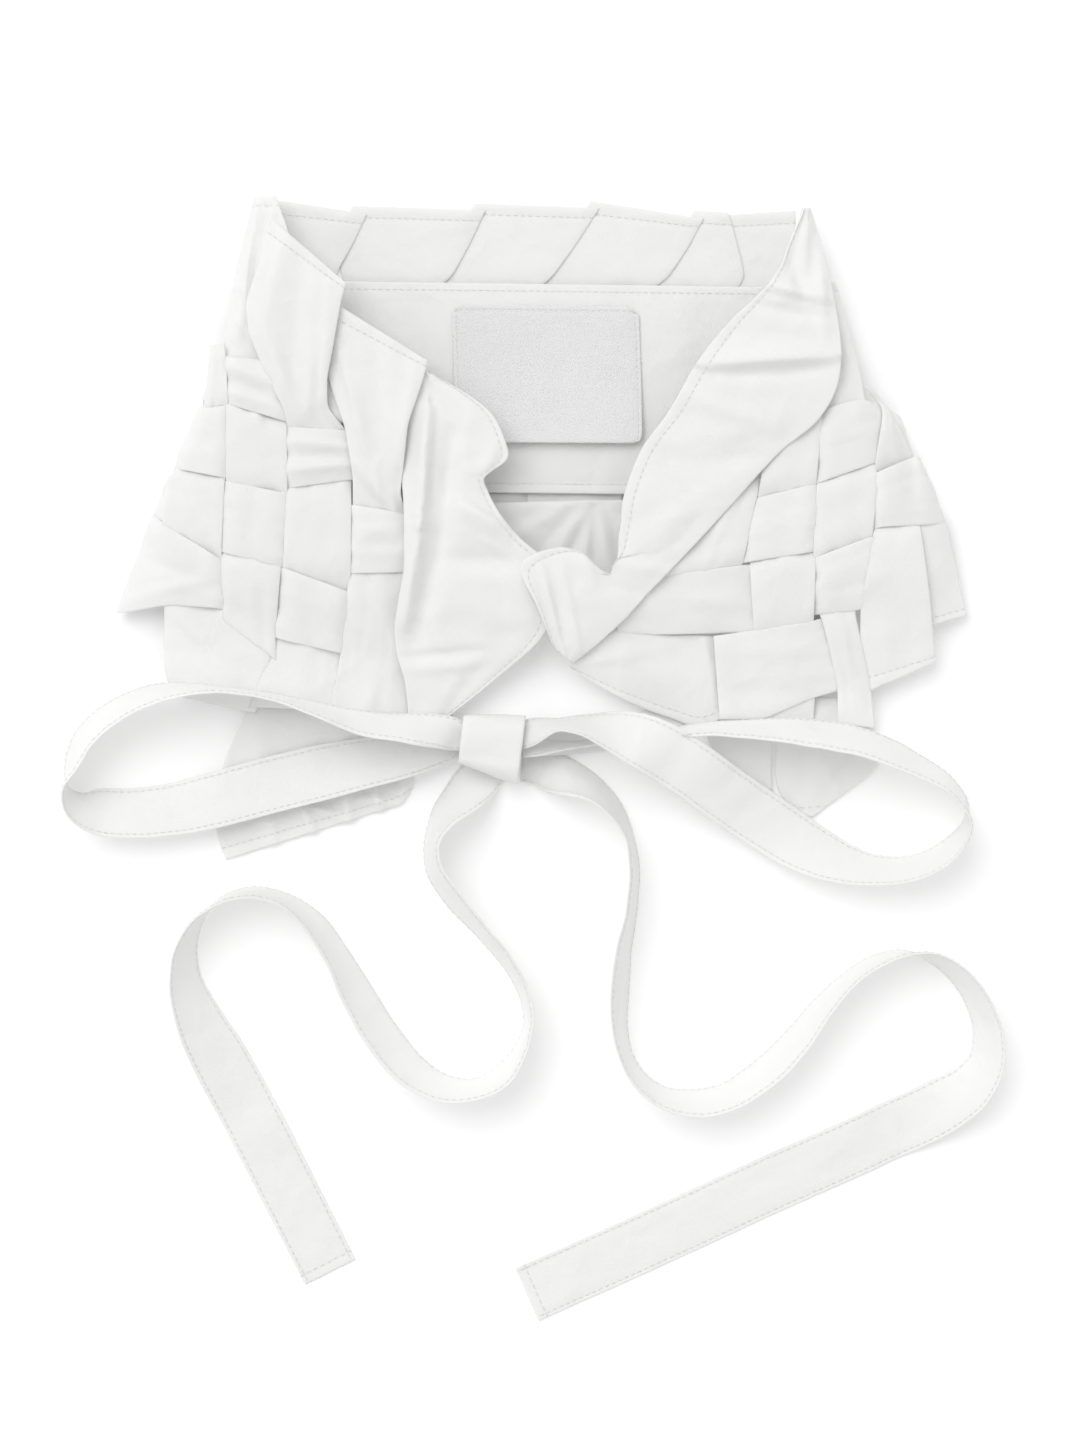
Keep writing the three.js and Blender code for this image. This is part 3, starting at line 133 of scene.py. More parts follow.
# %% The cotton node group
def woven_cloth_group():
    """Colour and normal of plain woven cloth, from its UV map and its place."""
    group = bpy.data.node_groups.new("woven cloth", "ShaderNodeTree")
    for name, kind, value in (
        ("Colour", "NodeSocketColor", (0.88, 0.88, 0.875, 1)),
        ("Shaded colour", "NodeSocketColor", (0.8, 0.8, 0.79, 1)),
        ("Threads per metre", "NodeSocketFloat", 2200.0),
        ("Thread depth", "NodeSocketFloat", 0.00003),
        ("Crease depth", "NodeSocketFloat", 0.0004),
    ):
        socket = group.interface.new_socket(name, in_out="INPUT", socket_type=kind)
        socket.default_value = value
    group.interface.new_socket("Colour", in_out="OUTPUT", socket_type="NodeSocketColor")
    group.interface.new_socket("Normal", in_out="OUTPUT", socket_type="NodeSocketVector")
    nodes, links = group.nodes, group.links
    inside, outside = nodes.new("NodeGroupInput"), nodes.new("NodeGroupOutput")

    def math_node(operation, a, b=None):
        node = nodes.new("ShaderNodeMath")
        node.operation = operation
        for socket, value in zip(node.inputs, (a, b)):
            if isinstance(value, (int, float)):
                socket.default_value = value
            elif value is not None:
                links.new(value, socket)
        return node.outputs[0]

    coords = nodes.new("ShaderNodeTexCoord")
    split = nodes.new("ShaderNodeSeparateXYZ")
    links.new(coords.outputs["UV"], split.inputs[0])
    turns = math_node("MULTIPLY", inside.outputs["Threads per metre"], math.pi)
    warp = math_node("SINE", math_node("MULTIPLY", split.outputs["X"], turns))
    weft = math_node("SINE", math_node("MULTIPLY", split.outputs["Y"], turns))
    weave = math_node("MULTIPLY", math_node("MULTIPLY", warp, weft), inside.outputs["Thread depth"])

    def creases(scale, detail, roughness):
        node = nodes.new("ShaderNodeTexNoise")
        set_inputs(node, {"Scale": scale, "Detail": detail, "Roughness": roughness})
        links.new(coords.outputs["Object"], node.inputs["Vector"])
        return node.outputs["Fac"]

    coarse = creases(55.0, 3.0, 0.5)
    fine = creases(230.0, 2.0, 0.5)
    crease = math_node("ADD", coarse, math_node("MULTIPLY", fine, 0.22))
    bent = creases(34.0, 2.0, 0.45)
    off_centre = math_node("ABSOLUTE", math_node("MULTIPLY", math_node("SUBTRACT", bent, 0.5), 9.0))
    fold_line = math_node("SUBTRACT", 1.0, off_centre)
    pressed = math_node("MULTIPLY", math_node("MAXIMUM", fold_line, 0.0), 0.32)
    crease = math_node("ADD", crease, pressed)
    slub_depth = math_node("MULTIPLY", inside.outputs["Thread depth"], 4.0)
    slubs = math_node("MULTIPLY", creases(1300.0, 1.0, 0.5), slub_depth)
    weave = math_node("ADD", weave, slubs)
    height = math_node("ADD", weave, math_node("MULTIPLY", crease, inside.outputs["Crease depth"]))
    bump = nodes.new("ShaderNodeBump")
    set_inputs(bump, {"Strength": 1.0, "Distance": 1.0})
    links.new(height, bump.inputs["Height"])
    tint = nodes.new("ShaderNodeMix")
    tint.data_type = "RGBA"
    ramp = nodes.new("ShaderNodeMapRange")
    set_inputs(ramp, {"From Min": 0.35, "From Max": 0.65, "To Min": 0.0, "To Max": 0.35})
    links.new(coarse, ramp.inputs["Value"])
    links.new(ramp.outputs["Result"], tint.inputs["Factor"])
    links.new(inside.outputs["Colour"], tint.inputs["A"])
    links.new(inside.outputs["Shaded colour"], tint.inputs["B"])
    links.new(tint.outputs["Result"], outside.inputs["Colour"])
    links.new(bump.outputs["Normal"], outside.inputs["Normal"])
    return group


WOVEN = woven_cloth_group()
print("group outputs:", [s.name for s in WOVEN.interface.items_tree if s.in_out == "OUTPUT"])

# %% Materials
def cloth_material(name, colour, shaded, threads, thread_depth, crease, roughness, sheen):
    """A matt cloth that places the woven group with its own values."""
    material = bpy.data.materials.new(name)
    material.use_nodes = True
    nodes, links = material.node_tree.nodes, material.node_tree.links
    shader = nodes["Principled BSDF"]
    set_inputs(shader, {
        "Roughness": roughness, "Specular IOR Level": 0.25,
        "Sheen Weight": sheen, "Sheen Roughness": 0.6,
        "Subsurface Weight": 0.35, "Subsurface Radius": (1.0, 1.0, 1.0), "Subsurface Scale": 0.0015,
    })
    cloth = nodes.new("ShaderNodeGroup")
    cloth.node_tree = WOVEN
    set_inputs(cloth, {
        "Colour": (*colour, 1), "Shaded colour": (*shaded, 1),
        "Threads per metre": threads, "Thread depth": thread_depth, "Crease depth": crease,
    })
    links.new(cloth.outputs["Colour"], shader.inputs["Base Color"])
    links.new(cloth.outputs["Normal"], shader.inputs["Normal"])
    return material


# name: colour, shaded colour, threads per metre, thread depth, crease depth, roughness, sheen
CLOTHS = {
    "cotton": ((0.895, 0.893, 0.887), (0.865, 0.863, 0.855), 2200, 0.000015, 0.0008, 0.9, 0.1),
    "label_tape": ((0.86, 0.86, 0.862), (0.81, 0.81, 0.815), 1700, 0.00007, 0.00012, 0.75, 0.1),
    "sewing_thread": ((0.88, 0.88, 0.87), (0.84, 0.84, 0.83), 3000, 0.00002, 0.0, 0.7, 0.2),
}
COTTON, TAPE, THREAD = [cloth_material(name, *values) for name, values in CLOTHS.items()]
TABLE = bpy.data.materials.new("table_white")
TABLE.use_nodes = True
set_inputs(TABLE.node_tree.nodes["Principled BSDF"], {
    "Base Color": (0.93, 0.93, 0.93, 1), "Roughness": 0.9, "Emission Strength": 0.15,
})
table.data.materials.append(TABLE)
print("materials:", [m.name for m in (COTTON, TAPE, THREAD, TABLE)])

# %% [markdown]
# ## How a cloth wall is made
#
# A strip of cloth is easy to describe by rungs, as on a ladder: each rung joins the two edges of the
# strip. Smooth curves run through the rungs' ends, and the space between them is filled with an even
# grid. A Subdivision Surface could round a coarse wall too, but the grid lets us add folds, hems and
# creases of a known size, and gives a UV map in metres for the weave.

# %% Curves through the rungs
def smooth_through(at, points, stops):
    """Points on a smooth curve through `points`, which lie at the distances `at` along it."""
    gaps = np.diff(at)[:, None]
    steps = np.diff(points, axis=0) / gaps
    slopes = np.vstack([steps[:1], steps[-1:]]) if len(points) == 2 else np.vstack([
        steps[:1],
        (steps[:-1] * gaps[1:] + steps[1:] * gaps[:-1]) / (gaps[1:] + gaps[:-1]),
        steps[-1:],
    ])
    k = np.clip(np.searchsorted(at, stops, side="right") - 1, 0, len(at) - 2)
    gap = (at[k + 1] - at[k])[:, None]
    t = (stops - at[k])[:, None] / gap
    return (
        (2 * t**3 - 3 * t**2 + 1) * points[k] + (t**3 - 2 * t**2 + t) * gap * slopes[k]
        + (3 * t**2 - 2 * t**3) * points[k + 1] + (t**3 - t**2) * gap * slopes[k + 1]
    )


def even_stops(length, pitch, marks):
    """Distances from 0 to length about `pitch` apart, with one exactly at each mark."""
    edges = sorted({0.0, length, *[m for m in marks if 0 < m < length]})
    stops = [0.0]
    for low, high in zip(edges[:-1], edges[1:]):
        parts = max(1, round((high - low) / pitch))
        stops += list(low + (high - low) * np.arange(1, parts + 1) / parts)
    return np.array(stops)


def straight_through(at, points, stops, soften=2.2):
    """Straight runs through `points` in plan, with rounded corners, and smooth heights."""
    reach = 4 * soften
    before = points[0] + (points[0] - points[1]) * reach / (at[1] - at[0])
    after = points[-1] + (points[-1] - points[-2]) * reach / (at[-1] - at[-2])
    long_at = np.concatenate([[at[0] - reach], at, [at[-1] + reach]])
    long_points = np.vstack([before, points, after])
    offsets = np.linspace(-reach, reach, 33)
    weights = np.exp(-((offsets / soften) ** 2) / 2)
    out = smooth_through(at, points, stops)
    for axis in (0, 1):
        samples = np.interp(stops[:, None] + offsets, long_at, long_points[:, axis])
        out[:, axis] = samples @ weights / weights.sum()
    return out


print("a curve through three points:", smooth_through(np.array([0, 1, 2.0]), np.eye(3), np.array([0.5]))[0])

# %% [markdown]
# Each wall then gets its relief, in millimetres along its own normal: a soft crown, so that its edges
# roll down, the folds named for it, small creases, and a groove where a hem is stitched. The two faces
# are joined by a rounded edge, because a folded strip has no sharp corner.

# %% The wall mesh
LOWEST = 0.02  # mm, how near the table a wall may come
STEEP = 0.22  # slope at which a diving wall is fully gathered
FRONT_LOWEST_TOP = 9  # mm, above which only the walls of the fronts reach
GROOVE = {"wide": 0.75, "deep": 0.3}  # mm, along a stitched hem
HEM_RISE = 0.12  # mm, of the doubled cloth outside a hem's stitches
walls = {}


def noise_field(x, y, seed):
    """Smooth noise between -1 and 1 for arrays of places."""
    flat = [noise.noise((a, b, seed)) for a, b in zip(x.ravel(), y.ravel())]
    return np.array(flat).reshape(x.shape)


def face_outwards(mesh, faces):
    """Turn the mesh round if the faces look inwards."""
    corners = [[mesh.vertices[index].co for index in face[:3]] for face in faces]
    if sum(a.dot(b.cross(c)) for a, b, c in corners) < 0:
        mesh.flip_normals()


def soft_relief(grid, u, v, width, seed, crown, crease, gather):
    """Height over a wall of its crown, its small creases and the gathers where it dives."""
    uu, vv = np.meshgrid(u, v, indexing="ij")
    relief = crown * (1 - (2 * vv / width - 1) ** 2) - crown * 0.5
    if crease:
        relief += crease * 1.6 * noise_field(uu / 34, vv / 9, seed)
        relief += crease * 0.8 * noise_field(uu / 9, vv / 16, seed + 5)
        relief -= crease * 0.9 * np.abs(noise_field(grid[..., 0] / 21 + 3, grid[..., 1] / 17, seed + 9))
    if gather:
        dive = np.abs(np.gradient(grid[..., 2], u, axis=0))
        relief += gather * np.clip(dive / STEEP, 0, 1) * noise_field(uu / 26, vv / 4.2, seed + 13)
    return relief


def fold_relief(grid, fold):
    """Height over a wall of one fold, which fades out at both its ends."""
    x0, y0, x1, y1, wide, high, *sharp = fold
    run = np.array([x1 - x0, y1 - y0])
    part = np.clip(((grid[..., 0] - x0) * run[0] + (grid[..., 1] - y0) * run[1]) / (run @ run), 0, 1)
    dx = grid[..., 0] - x0 - run[0] * part
    dy = grid[..., 1] - y0 - run[1] * part
    on_right = run[0] * dy < run[1] * dx
    away = np.hypot(dx, dy) / np.where(on_right, sharp[0] if sharp else wide, wide)
    fade = np.sin(np.pi * np.clip(part * 0.86 + 0.07, 0, 1)) ** 0.5
    return high * fade * np.exp(-away**2)


def ring_faces(rows, size, columns):
    """Quads round a wall, and caps that close its two ends."""
    index = np.arange(rows * size).reshape(rows, size)
    following = np.roll(index, -1, axis=1)
    quads = np.stack([index[:-1], following[:-1], following[1:], index[1:]], axis=-1).reshape(-1, 4)
    faces = quads.tolist()
    for row, flip in ((0, True), (rows - 1, False)):
        r = index[row]
        caps = [[r[c], r[c + 1], r[size - 3 - c], r[size - 2 - c]] for c in range(columns - 1)]
        caps += [[r[columns - 1], r[columns], r[columns + 1]], [r[size - 2], r[size - 1], r[0]]]
        faces += [[int(i) for i in (reversed(cap) if flip else cap)] for cap in caps]
    return faces


def ring_uv(u, v, width):
    """UV places in metres for the corners of the quads round a wall."""
    ring_v = np.concatenate([v, [width], width + (width - v[::-1]), [2 * width]])
    ring_next = np.append(ring_v[1:], 2 * width + 0.5)
    grid_u = np.repeat(u[:-1], len(ring_v)), np.repeat(u[1:], len(ring_v))
    grid_v = np.tile(ring_v, len(u) - 1), np.tile(ring_next, len(u) - 1)
    return np.stack([
        np.stack([grid_u[0], grid_v[0]], 1), np.stack([grid_u[0], grid_v[1]], 1),
        np.stack([grid_u[1], grid_v[1]], 1), np.stack([grid_u[1], grid_v[0]], 1),
    ], axis=1).reshape(-1, 2) * MM


def cloth_wall(name, rungs, thick=0.9, crown=0.5, folds=(), hems=(), crease=0.25, gather=0.0, pitch=1.5,
               straight=False, widen=0.5, pulls=(), material=None, lay=("laid", ())):
    """Make the wall for the node `name`.

    hems: (edge, inset) pairs, where a line is stitched
    folds: (x0, y0, x1, y1, width, height), a ridge or a valley along a line, and, as a seventh value
        for a sharper fold, the smaller width on the right-hand side of that line
    pulls: (x, y, dx, dy, width), where the cloth is drawn aside
    gather: height of the small pleats where the wall dives under another
    widen: how far a straight wall's edges move out, so that the weave closes up
    """
    left = np.array([rung[0] for rung in rungs], dtype=float)
    right = np.array([rung[1] for rung in rungs], dtype=float)
    middle = (left + right) / 2
    at = np.concatenate([[0], np.cumsum(np.maximum(np.linalg.norm(np.diff(middle, axis=0), axis=1), 0.6))])
    if straight:
        outward = (left - right) / np.linalg.norm(left - right, axis=1, keepdims=True) * widen
        left, right = left + outward, right - outward
    width = float(np.mean(np.linalg.norm(right - left, axis=1)))
    curve = straight_through if straight else smooth_through
    insets = dict(hems)
    along = [insets.get("start", 0), at[-1] - insets.get("end", 0), 0.5, at[-1] - 0.5]
    across = [insets.get("left", 0), width - insets.get("right", 0), 0.5, width - 0.5]
    u = even_stops(at[-1], pitch, along)
    v = even_stops(width, pitch, across)
    share = (v / width)[None, :, None]
    grid = curve(at, left, u)[:, None, :] * (1 - share) + curve(at, right, u)[:, None, :] * share
    for x, y, dx, dy, wide in pulls:
        near = np.exp(-((grid[..., 0] - x) ** 2 + (grid[..., 1] - y) ** 2) / wide**2)
        grid[..., 0] += dx * near
        grid[..., 1] += dy * near
    normal = np.cross(np.gradient(grid, axis=0), np.gradient(grid, axis=1))
    normal /= np.maximum(np.linalg.norm(normal, axis=2, keepdims=True), 1e-9)
    if normal[..., 2].mean() < 0:
        normal = -normal
    seed = sum(ord(letter) for letter in name) * 0.37
    relief = soft_relief(grid, u, v, width, seed, crown, crease, gather)
    if straight and grid[..., 2].max() > FRONT_LOWEST_TOP:
        # the low ends of a front's weave lie pressed under it
        relief *= np.clip((grid[..., 2] - 5) / 4, 0.1, 1)
    for fold in folds:
        relief += fold_relief(grid, fold)
    uu, vv = np.meshgrid(u, v, indexing="ij")
    groove = np.zeros_like(uu)
    seam_lines = []
    for edge, inset in insets.items():
        line = {
            "start": uu - inset, "end": at[-1] - inset - uu,
            "left": vv - inset, "right": width - inset - vv,
        }[edge]
        groove += np.exp(-(line / GROOVE["wide"]) ** 2) * GROOVE["deep"]
        relief += HEM_RISE * (line < 0) * (1 - np.exp(-(line / 1.2) ** 2))
        seam_lines.append((edge, int(np.argmin(np.abs(line[:, 0]))), int(np.argmin(np.abs(line[0, :])))))
    relief -= groove
    half = np.full(uu.shape, thick / 2)
    rim = np.minimum(np.minimum(uu, at[-1] - uu), np.minimum(vv, width - vv))
    half *= 0.55 + 0.45 * np.clip(rim / 0.9, 0, 1)
    centre = grid + normal * relief[..., None]
    top = centre + normal * half[..., None]
    under = centre - normal * half[..., None]
    centre_left = (top[:, 0] + under[:, 0]) / 2 + (grid[:, 0] - grid[:, 1]) * 0.25
    centre_right = (top[:, -1] + under[:, -1]) / 2 + (grid[:, -1] - grid[:, -2]) * 0.25
    ring = np.concatenate([top, centre_right[:, None], under[:, ::-1], centre_left[:, None]], axis=1)
    ring[..., 2] = np.maximum(ring[..., 2], LOWEST)
    rows, size, columns = ring.shape[0], ring.shape[1], len(v)
    faces = ring_faces(rows, size, columns)
    mesh = bpy.data.meshes.new(name + "_cloth")
    mesh.from_pydata((ring.reshape(-1, 3) * MM).tolist(), [], faces)
    uv = np.zeros((len(mesh.loops), 2))
    count = (rows - 1) * size
    uv[: count * 4] = ring_uv(u, v, width)
    layer = mesh.uv_layers.new(name="UVMap")
    layer.data.foreach_set("uv", uv.ravel())
    mesh.polygons.foreach_set("use_smooth", np.ones(len(mesh.polygons), dtype=bool))
    face_outwards(mesh, faces[:count])
    mesh.materials.append(material or COTTON)
    piece = bpy.data.objects.new(name + "_cloth", mesh)
    bpy.context.collection.objects.link(piece)
    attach(piece, "root")
    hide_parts(name)
    length = float(np.linalg.norm(np.diff(centre[:, columns // 2], axis=0), axis=1).sum())
    walls[name] = {"top": top, "under": under, "normal": normal, "seams": seam_lines, "length": length}
    return piece


print("the wall maker is ready")

# %% [markdown]
# ## The weave
#
# In a plain weave each strip goes over one band and under the next, and its neighbours do the
# opposite. So the only facts needed are where the edges run and which strips each band passes over.
# The height at every crossing follows from that rule. The fronts lie over the neck hollow, so the
# middle of their weave is a smooth dome that rounds down to the folded sides.

# %% Heights of the fronts and the crossings
FRONT = {"high": 18, "side": 9, "roundness": 36, "hem_from": 75, "hem_slope": 0.2}
TOP_Y = 238
SIDES = {"left": (-113, 0.345), "right": (113, 0.41)}
PLATEAU = 1.5  # height of a strip's middle over the weave's middle
TUCK = 0.85  # its height at the edge of a crossing, where it dives under


def front_level(x, y):
    """Height of the middle of the front weave."""
    left = SIDES["left"][0] - (TOP_Y - y) * SIDES["left"][1]
    right = SIDES["right"][0] + (TOP_Y - y) * SIDES["right"][1]
    reach = 1 - min(max(min(x - left, right - x) / FRONT["roundness"], 0), 1)
    dome = FRONT["side"] + (FRONT["high"] - FRONT["side"]) * math.sqrt(1 - reach * reach)
    return dome - FRONT["hem_slope"] * max(0, FRONT["hem_from"] - y)


def read(rows, at, column):
    """Value of a column where the first column is `at`, also past the ends."""
    rising = rows[1][0] > rows[0][0]
    k = 0
    while k < len(rows) - 2 and (at > rows[k + 1][0] if rising else at < rows[k + 1][0]):
        k += 1
    share = (at - rows[k][0]) / (rows[k + 1][0] - rows[k][0])
    return rows[k][column] + (rows[k + 1][column] - rows[k][column]) * share


def crossing(strip, side, band, edge):
    """Where an edge of a strip meets an edge of a band."""
    y = (read(band["rows"], 0, 1) + read(band["rows"], 0, 2)) / 2
    for _ in range(12):
        x = read(strip["rows"], y, {"left": 1, "right": 2}[side])
        y = read(band["rows"], x, {"low": 1, "high": 2}[edge])
    return x, y


def panel_rungs(rows, level=front_level):
    """Rungs whose heights are given over a level."""
    return [((lx, ly, level(lx, ly) + lu), (rx, ry, level(rx, ry) + ru)) for lx, ly, lu, rx, ry, ru in rows]


def wrap_rungs(rows):
    """Rungs round the side, whose heights are given over the table."""
    return [((lx, ly, z), (rx, ry, z)) for lx, ly, rx, ry, z in rows]


def mid(a, b):
    return (a[0] + b[0]) / 2, (a[1] + b[1]) / 2


def crossing_rungs(corners, over, level, rises):
    """Three rungs through one crossing, low at its edges and high in its middle."""
    sign, (tuck, plateau) = (1, rises["over"]) if over else (-1, rises["under"])
    heights = (tuck, plateau, tuck)
    return [
        tuple((x, y, level(x, y) + sign * high) for x, y in (a, b))
        for a, b, high in zip(corners[0], corners[1], heights)
    ]


def strip_rungs(strip, bands, level, rises):
    """Rungs of a strip, three at each band that it crosses."""
    rungs = []
    for band in bands:
        corners = []
        for side in ("left", "right"):
            high, low = crossing(strip, side, band, "high"), crossing(strip, side, band, "low")
            corners.append((high, mid(high, low), low))
        rungs += crossing_rungs(corners, strip["name"] not in band["over"], level, rises)
    return rungs


def band_rungs(band, strips, level, rises):
    """Rungs of a band, three at each strip that it crosses."""
    rungs = []
    for strip in strips:
        corners = []
        for edge in ("high", "low"):
            left, right = crossing(strip, "left", band, edge), crossing(strip, "right", band, edge)
            corners.append((left, mid(left, right), right))
        rungs += crossing_rungs(corners, strip["name"] in band["over"], level, rises)
    return rungs


FRONT_RISES = {"over": (TUCK, PLATEAU), "under": (TUCK, PLATEAU)}
FRONT_WEAVE = {"crown": 1.0, "crease": 0.5, "gather": 0.55, "straight": True, "widen": 1.2}


def dress_strip(strip, bands, folds, hems, rests_on):
    """Make the wall of one upright strip of a front."""
    rungs = panel_rungs(strip["top"])
    rungs += strip_rungs(strip, bands, front_level, FRONT_RISES)
    rungs += panel_rungs(strip["end"])
    cloth_wall(strip["name"], rungs, folds=folds.get(strip["name"], ()), hems=hems.get(strip["name"], ()),
               lay=("folded", [rests_on]), **FRONT_WEAVE)


print("height over the neck, mm:", round(front_level(0, 120), 1))

# %% [markdown]
# ## The back
#
# Along the top edge the back shows a row of slanted pleats. They are the hemmed upper ends of the
# upright strips, and each one lies over its right-hand neighbour. Below them the strips go through
# bands that nobody sees, flat on the table.

# %% Back strips and bands
BACK_TOP_Y = 196
BACK_HEM_Y = 56
# edges at the top and at the hem: (left, right, left, right)
back_strip_edges = [
  (-112, -84, -138, -106), (-77, -45, -97, -62), (-37, -3, -52, -17), (5, 45, -6, 32),
  (54, 83, 48, 84), (91, 113, 98, 136),
]
# hemmed upper ends, as rungs: (left x, left y, height, right x, right y, height)
back_strip_tops = [
  [
    (-111, 236.5, 0, -70.5, 230, 1.3), (-112, 219, 0, -76, 218, 1.35), (-112, 204, 0, -84, 204, 1.35),
    (-112, 195, 0, -84, 195, 0),
  ],
  [
    (-75.5, 233.5, 0, -20.5, 231.5, 1.35), (-83, 218, 0, -27, 217.5, 1.35),
    (-80, 204, 0, -35, 203, 1.35), (-77, 195, 0, -45, 195, 0),
  ],
  [
    (-24, 234.5, 0, 27.5, 232.5, 1.35), (-33, 218, 0, 17.5, 217, 1.35), (-40, 204, 0, 7, 202.5, 1.35),
    (-37, 195, 0, -3, 195, 0),
  ],
  [
    (25, 235.5, 0, 71.5, 228, 1.35), (12, 218, 0, 65, 216, 1.35), (2, 204, 0, 56, 202.5, 1.35),
    (5, 195, 0, 45, 195, 0),
  ],
  [
    (68.5, 231.5, 0, 82, 230.5, 1.35), (60, 217, 0, 86, 216, 1.35), (51, 204, 0, 89, 203, 1.35),
    (54, 195, 0, 83, 195, 0),
  ],
  [
    (79, 229.5, 0, 110, 231.5, 0), (82, 216, 0, 111, 217, 0), (86, 204, 0, 112, 205, 0),
  ],
]
back_strips = [
  {"name": f"back_strip_{k + 1}", "rows": [(BACK_TOP_Y, *edges[:2]), (BACK_HEM_Y, *edges[2:])], "top": top}
  for k, (edges, top) in enumerate(zip(back_strip_edges, back_strip_tops))
]
# (x, low, high)
back_band_rows = [
  [(-129.3, 154, 176), (-126, 152, 176), (124, 152, 176), (126, 154, 176)],
  [(-135.6, 126, 144), (-126, 120, 144), (124, 120, 144), (151.2, 126, 144)],
  [(-150.8, 104, 112), (-126, 88, 112), (124, 88, 112), (136, 104, 112)],
  [(-163.4, 70, 81), (-126, 60, 81), (124, 60, 81), (155.2, 70, 81)],
]
back_bands = [
  {
    "name": f"back_band_{k + 1}",
    "rows": rows,
    "over": [f"back_strip_{other}" for other in range(1 + k % 2, 7, 2)],
  }
  for k, rows in enumerate(back_band_rows)
]
BACK_LEVEL = 0.55
BACK_RISES = {"over": (1.35, 2.0), "under": (0, 0)}


def back_level(x, y):
    return BACK_LEVEL


for strip in back_strips:
    left, right = [read(strip["rows"], BACK_HEM_Y, column) for column in (1, 2)]
    hem = (left, BACK_HEM_Y, 0, right, BACK_HEM_Y, 0)
    rungs = panel_rungs(strip["top"], back_level)
    rungs += strip_rungs(strip, back_bands, back_level, BACK_RISES)
    rungs += panel_rungs([hem], back_level)
    cloth_wall(strip["name"], rungs, crown=0.2, crease=0.14, gather=0.2, straight=True,
               hems=(("start", 5.0),), lay=("folded", ["table"]))
for band in back_bands:
    ends = [(row[0], row[2], 0, row[0], row[1], 0) for row in (band["rows"][0], band["rows"][3])]
    rungs = panel_rungs(ends, back_level)
    rungs[1:1] = band_rungs(band, back_strips, back_level, BACK_RISES)
    cloth_wall(band["name"], rungs, crown=0.2, crease=0.08, pitch=2.5, straight=True,
               lay=("folded", ["table"]))
print("back pieces:", len(walls))

# %% [markdown]
# ## Facing, label and gathered cloth inside the neck
#
# The facing is one plain layer sewn over the inside of the back. The label is a stiffer tape, a little
# greyer, sewn on at its top so that its lower edge lifts. It is left bare. Under the facing the cloth
# is drawn together and fans out in small pleats.

# %% Inside the neck
neck_facing = [(-89, 201.5, 0, 97, 199, 0), (-84, 160, 0, 88, 160, 0), (-66, 113, 0, 68, 111.5, 0)]
label_rows = [
  (-34, 191.5, 0, 44.5, 190.5, 0), (-33, 162, 0.2, 45.6, 162, 0.2), (-32.5, 133.5, 2.8, 46.2, 133, 2.8),
]
gathered_rows = [(-34, 108, 0, 46, 109.5, 0), (-34, 84, 0, 50, 84, 0), (-30, 62, 0, 52, 62, 0)]
gathered_pleats = [
  (24, 112, 6, 80, 3.0, 1.6), (25, 112, 20, 74, 2.6, 1.3), (26, 112, 34, 76, 3.0, 1.7),
  (27, 112, 48, 86, 3.2, 1.5), (22, 112, -10, 92, 3.2, 1.4), (20, 110, -24, 104, 3, 1.0),
  (25, 106, 13, 76, 2.0, -1.0), (26, 106, 27, 76, 2.0, -1.0), (20, 106, -2, 84, 2.2, -0.9),
]
facing_folds = [(-20, 199, -24, 140, 9, 0.35), (66, 196, 58, 150, 8, 0.3), (30, 199, 32, 193, 5, 0.3)]
label_corners = [(-34, 191.5, 1.4, -1.4, 2.4), (44.5, 190.5, -1.4, -1.4, 2.4), (46.2, 133, -1, 1, 2.4)]


def facing_level(x, y):
    return 4.4


def label_level(x, y):
    return 5.8


cloth_wall("neck_facing", panel_rungs(neck_facing, facing_level), crown=0.2, folds=facing_folds,
           crease=0.2, pitch=2, hems=(("start", 3.0), ("end", 4.0)), lay=("laid", ["back_band_1_cloth"]))
cloth_wall("woven_label", panel_rungs(label_rows, label_level), crown=0.25, crease=0.08, pitch=1.6,
           pulls=label_corners, hems=(("start", 1.6), ("left", 1.6), ("right", 1.6)), material=TAPE,
           lay=("laid", ["neck_facing_cloth"]))
cloth_wall("pleated_back_panel", panel_rungs(gathered_rows, facing_level), crown=0.2,
           folds=gathered_pleats, crease=0.3, pitch=1.2, lay=("gathered", ["back_band_3_cloth"]))
print("the label lies", round(float(walls["woven_label"]["top"][..., 2].max()), 1), "mm over the table")

# %% [markdown]
# ## Left front
#
# Four upright strips and four bands. Two of the strips are wider at their upper ends, where they open
# into the hemmed pleats of the lapel. The bands fold round the side of the collar to its back.

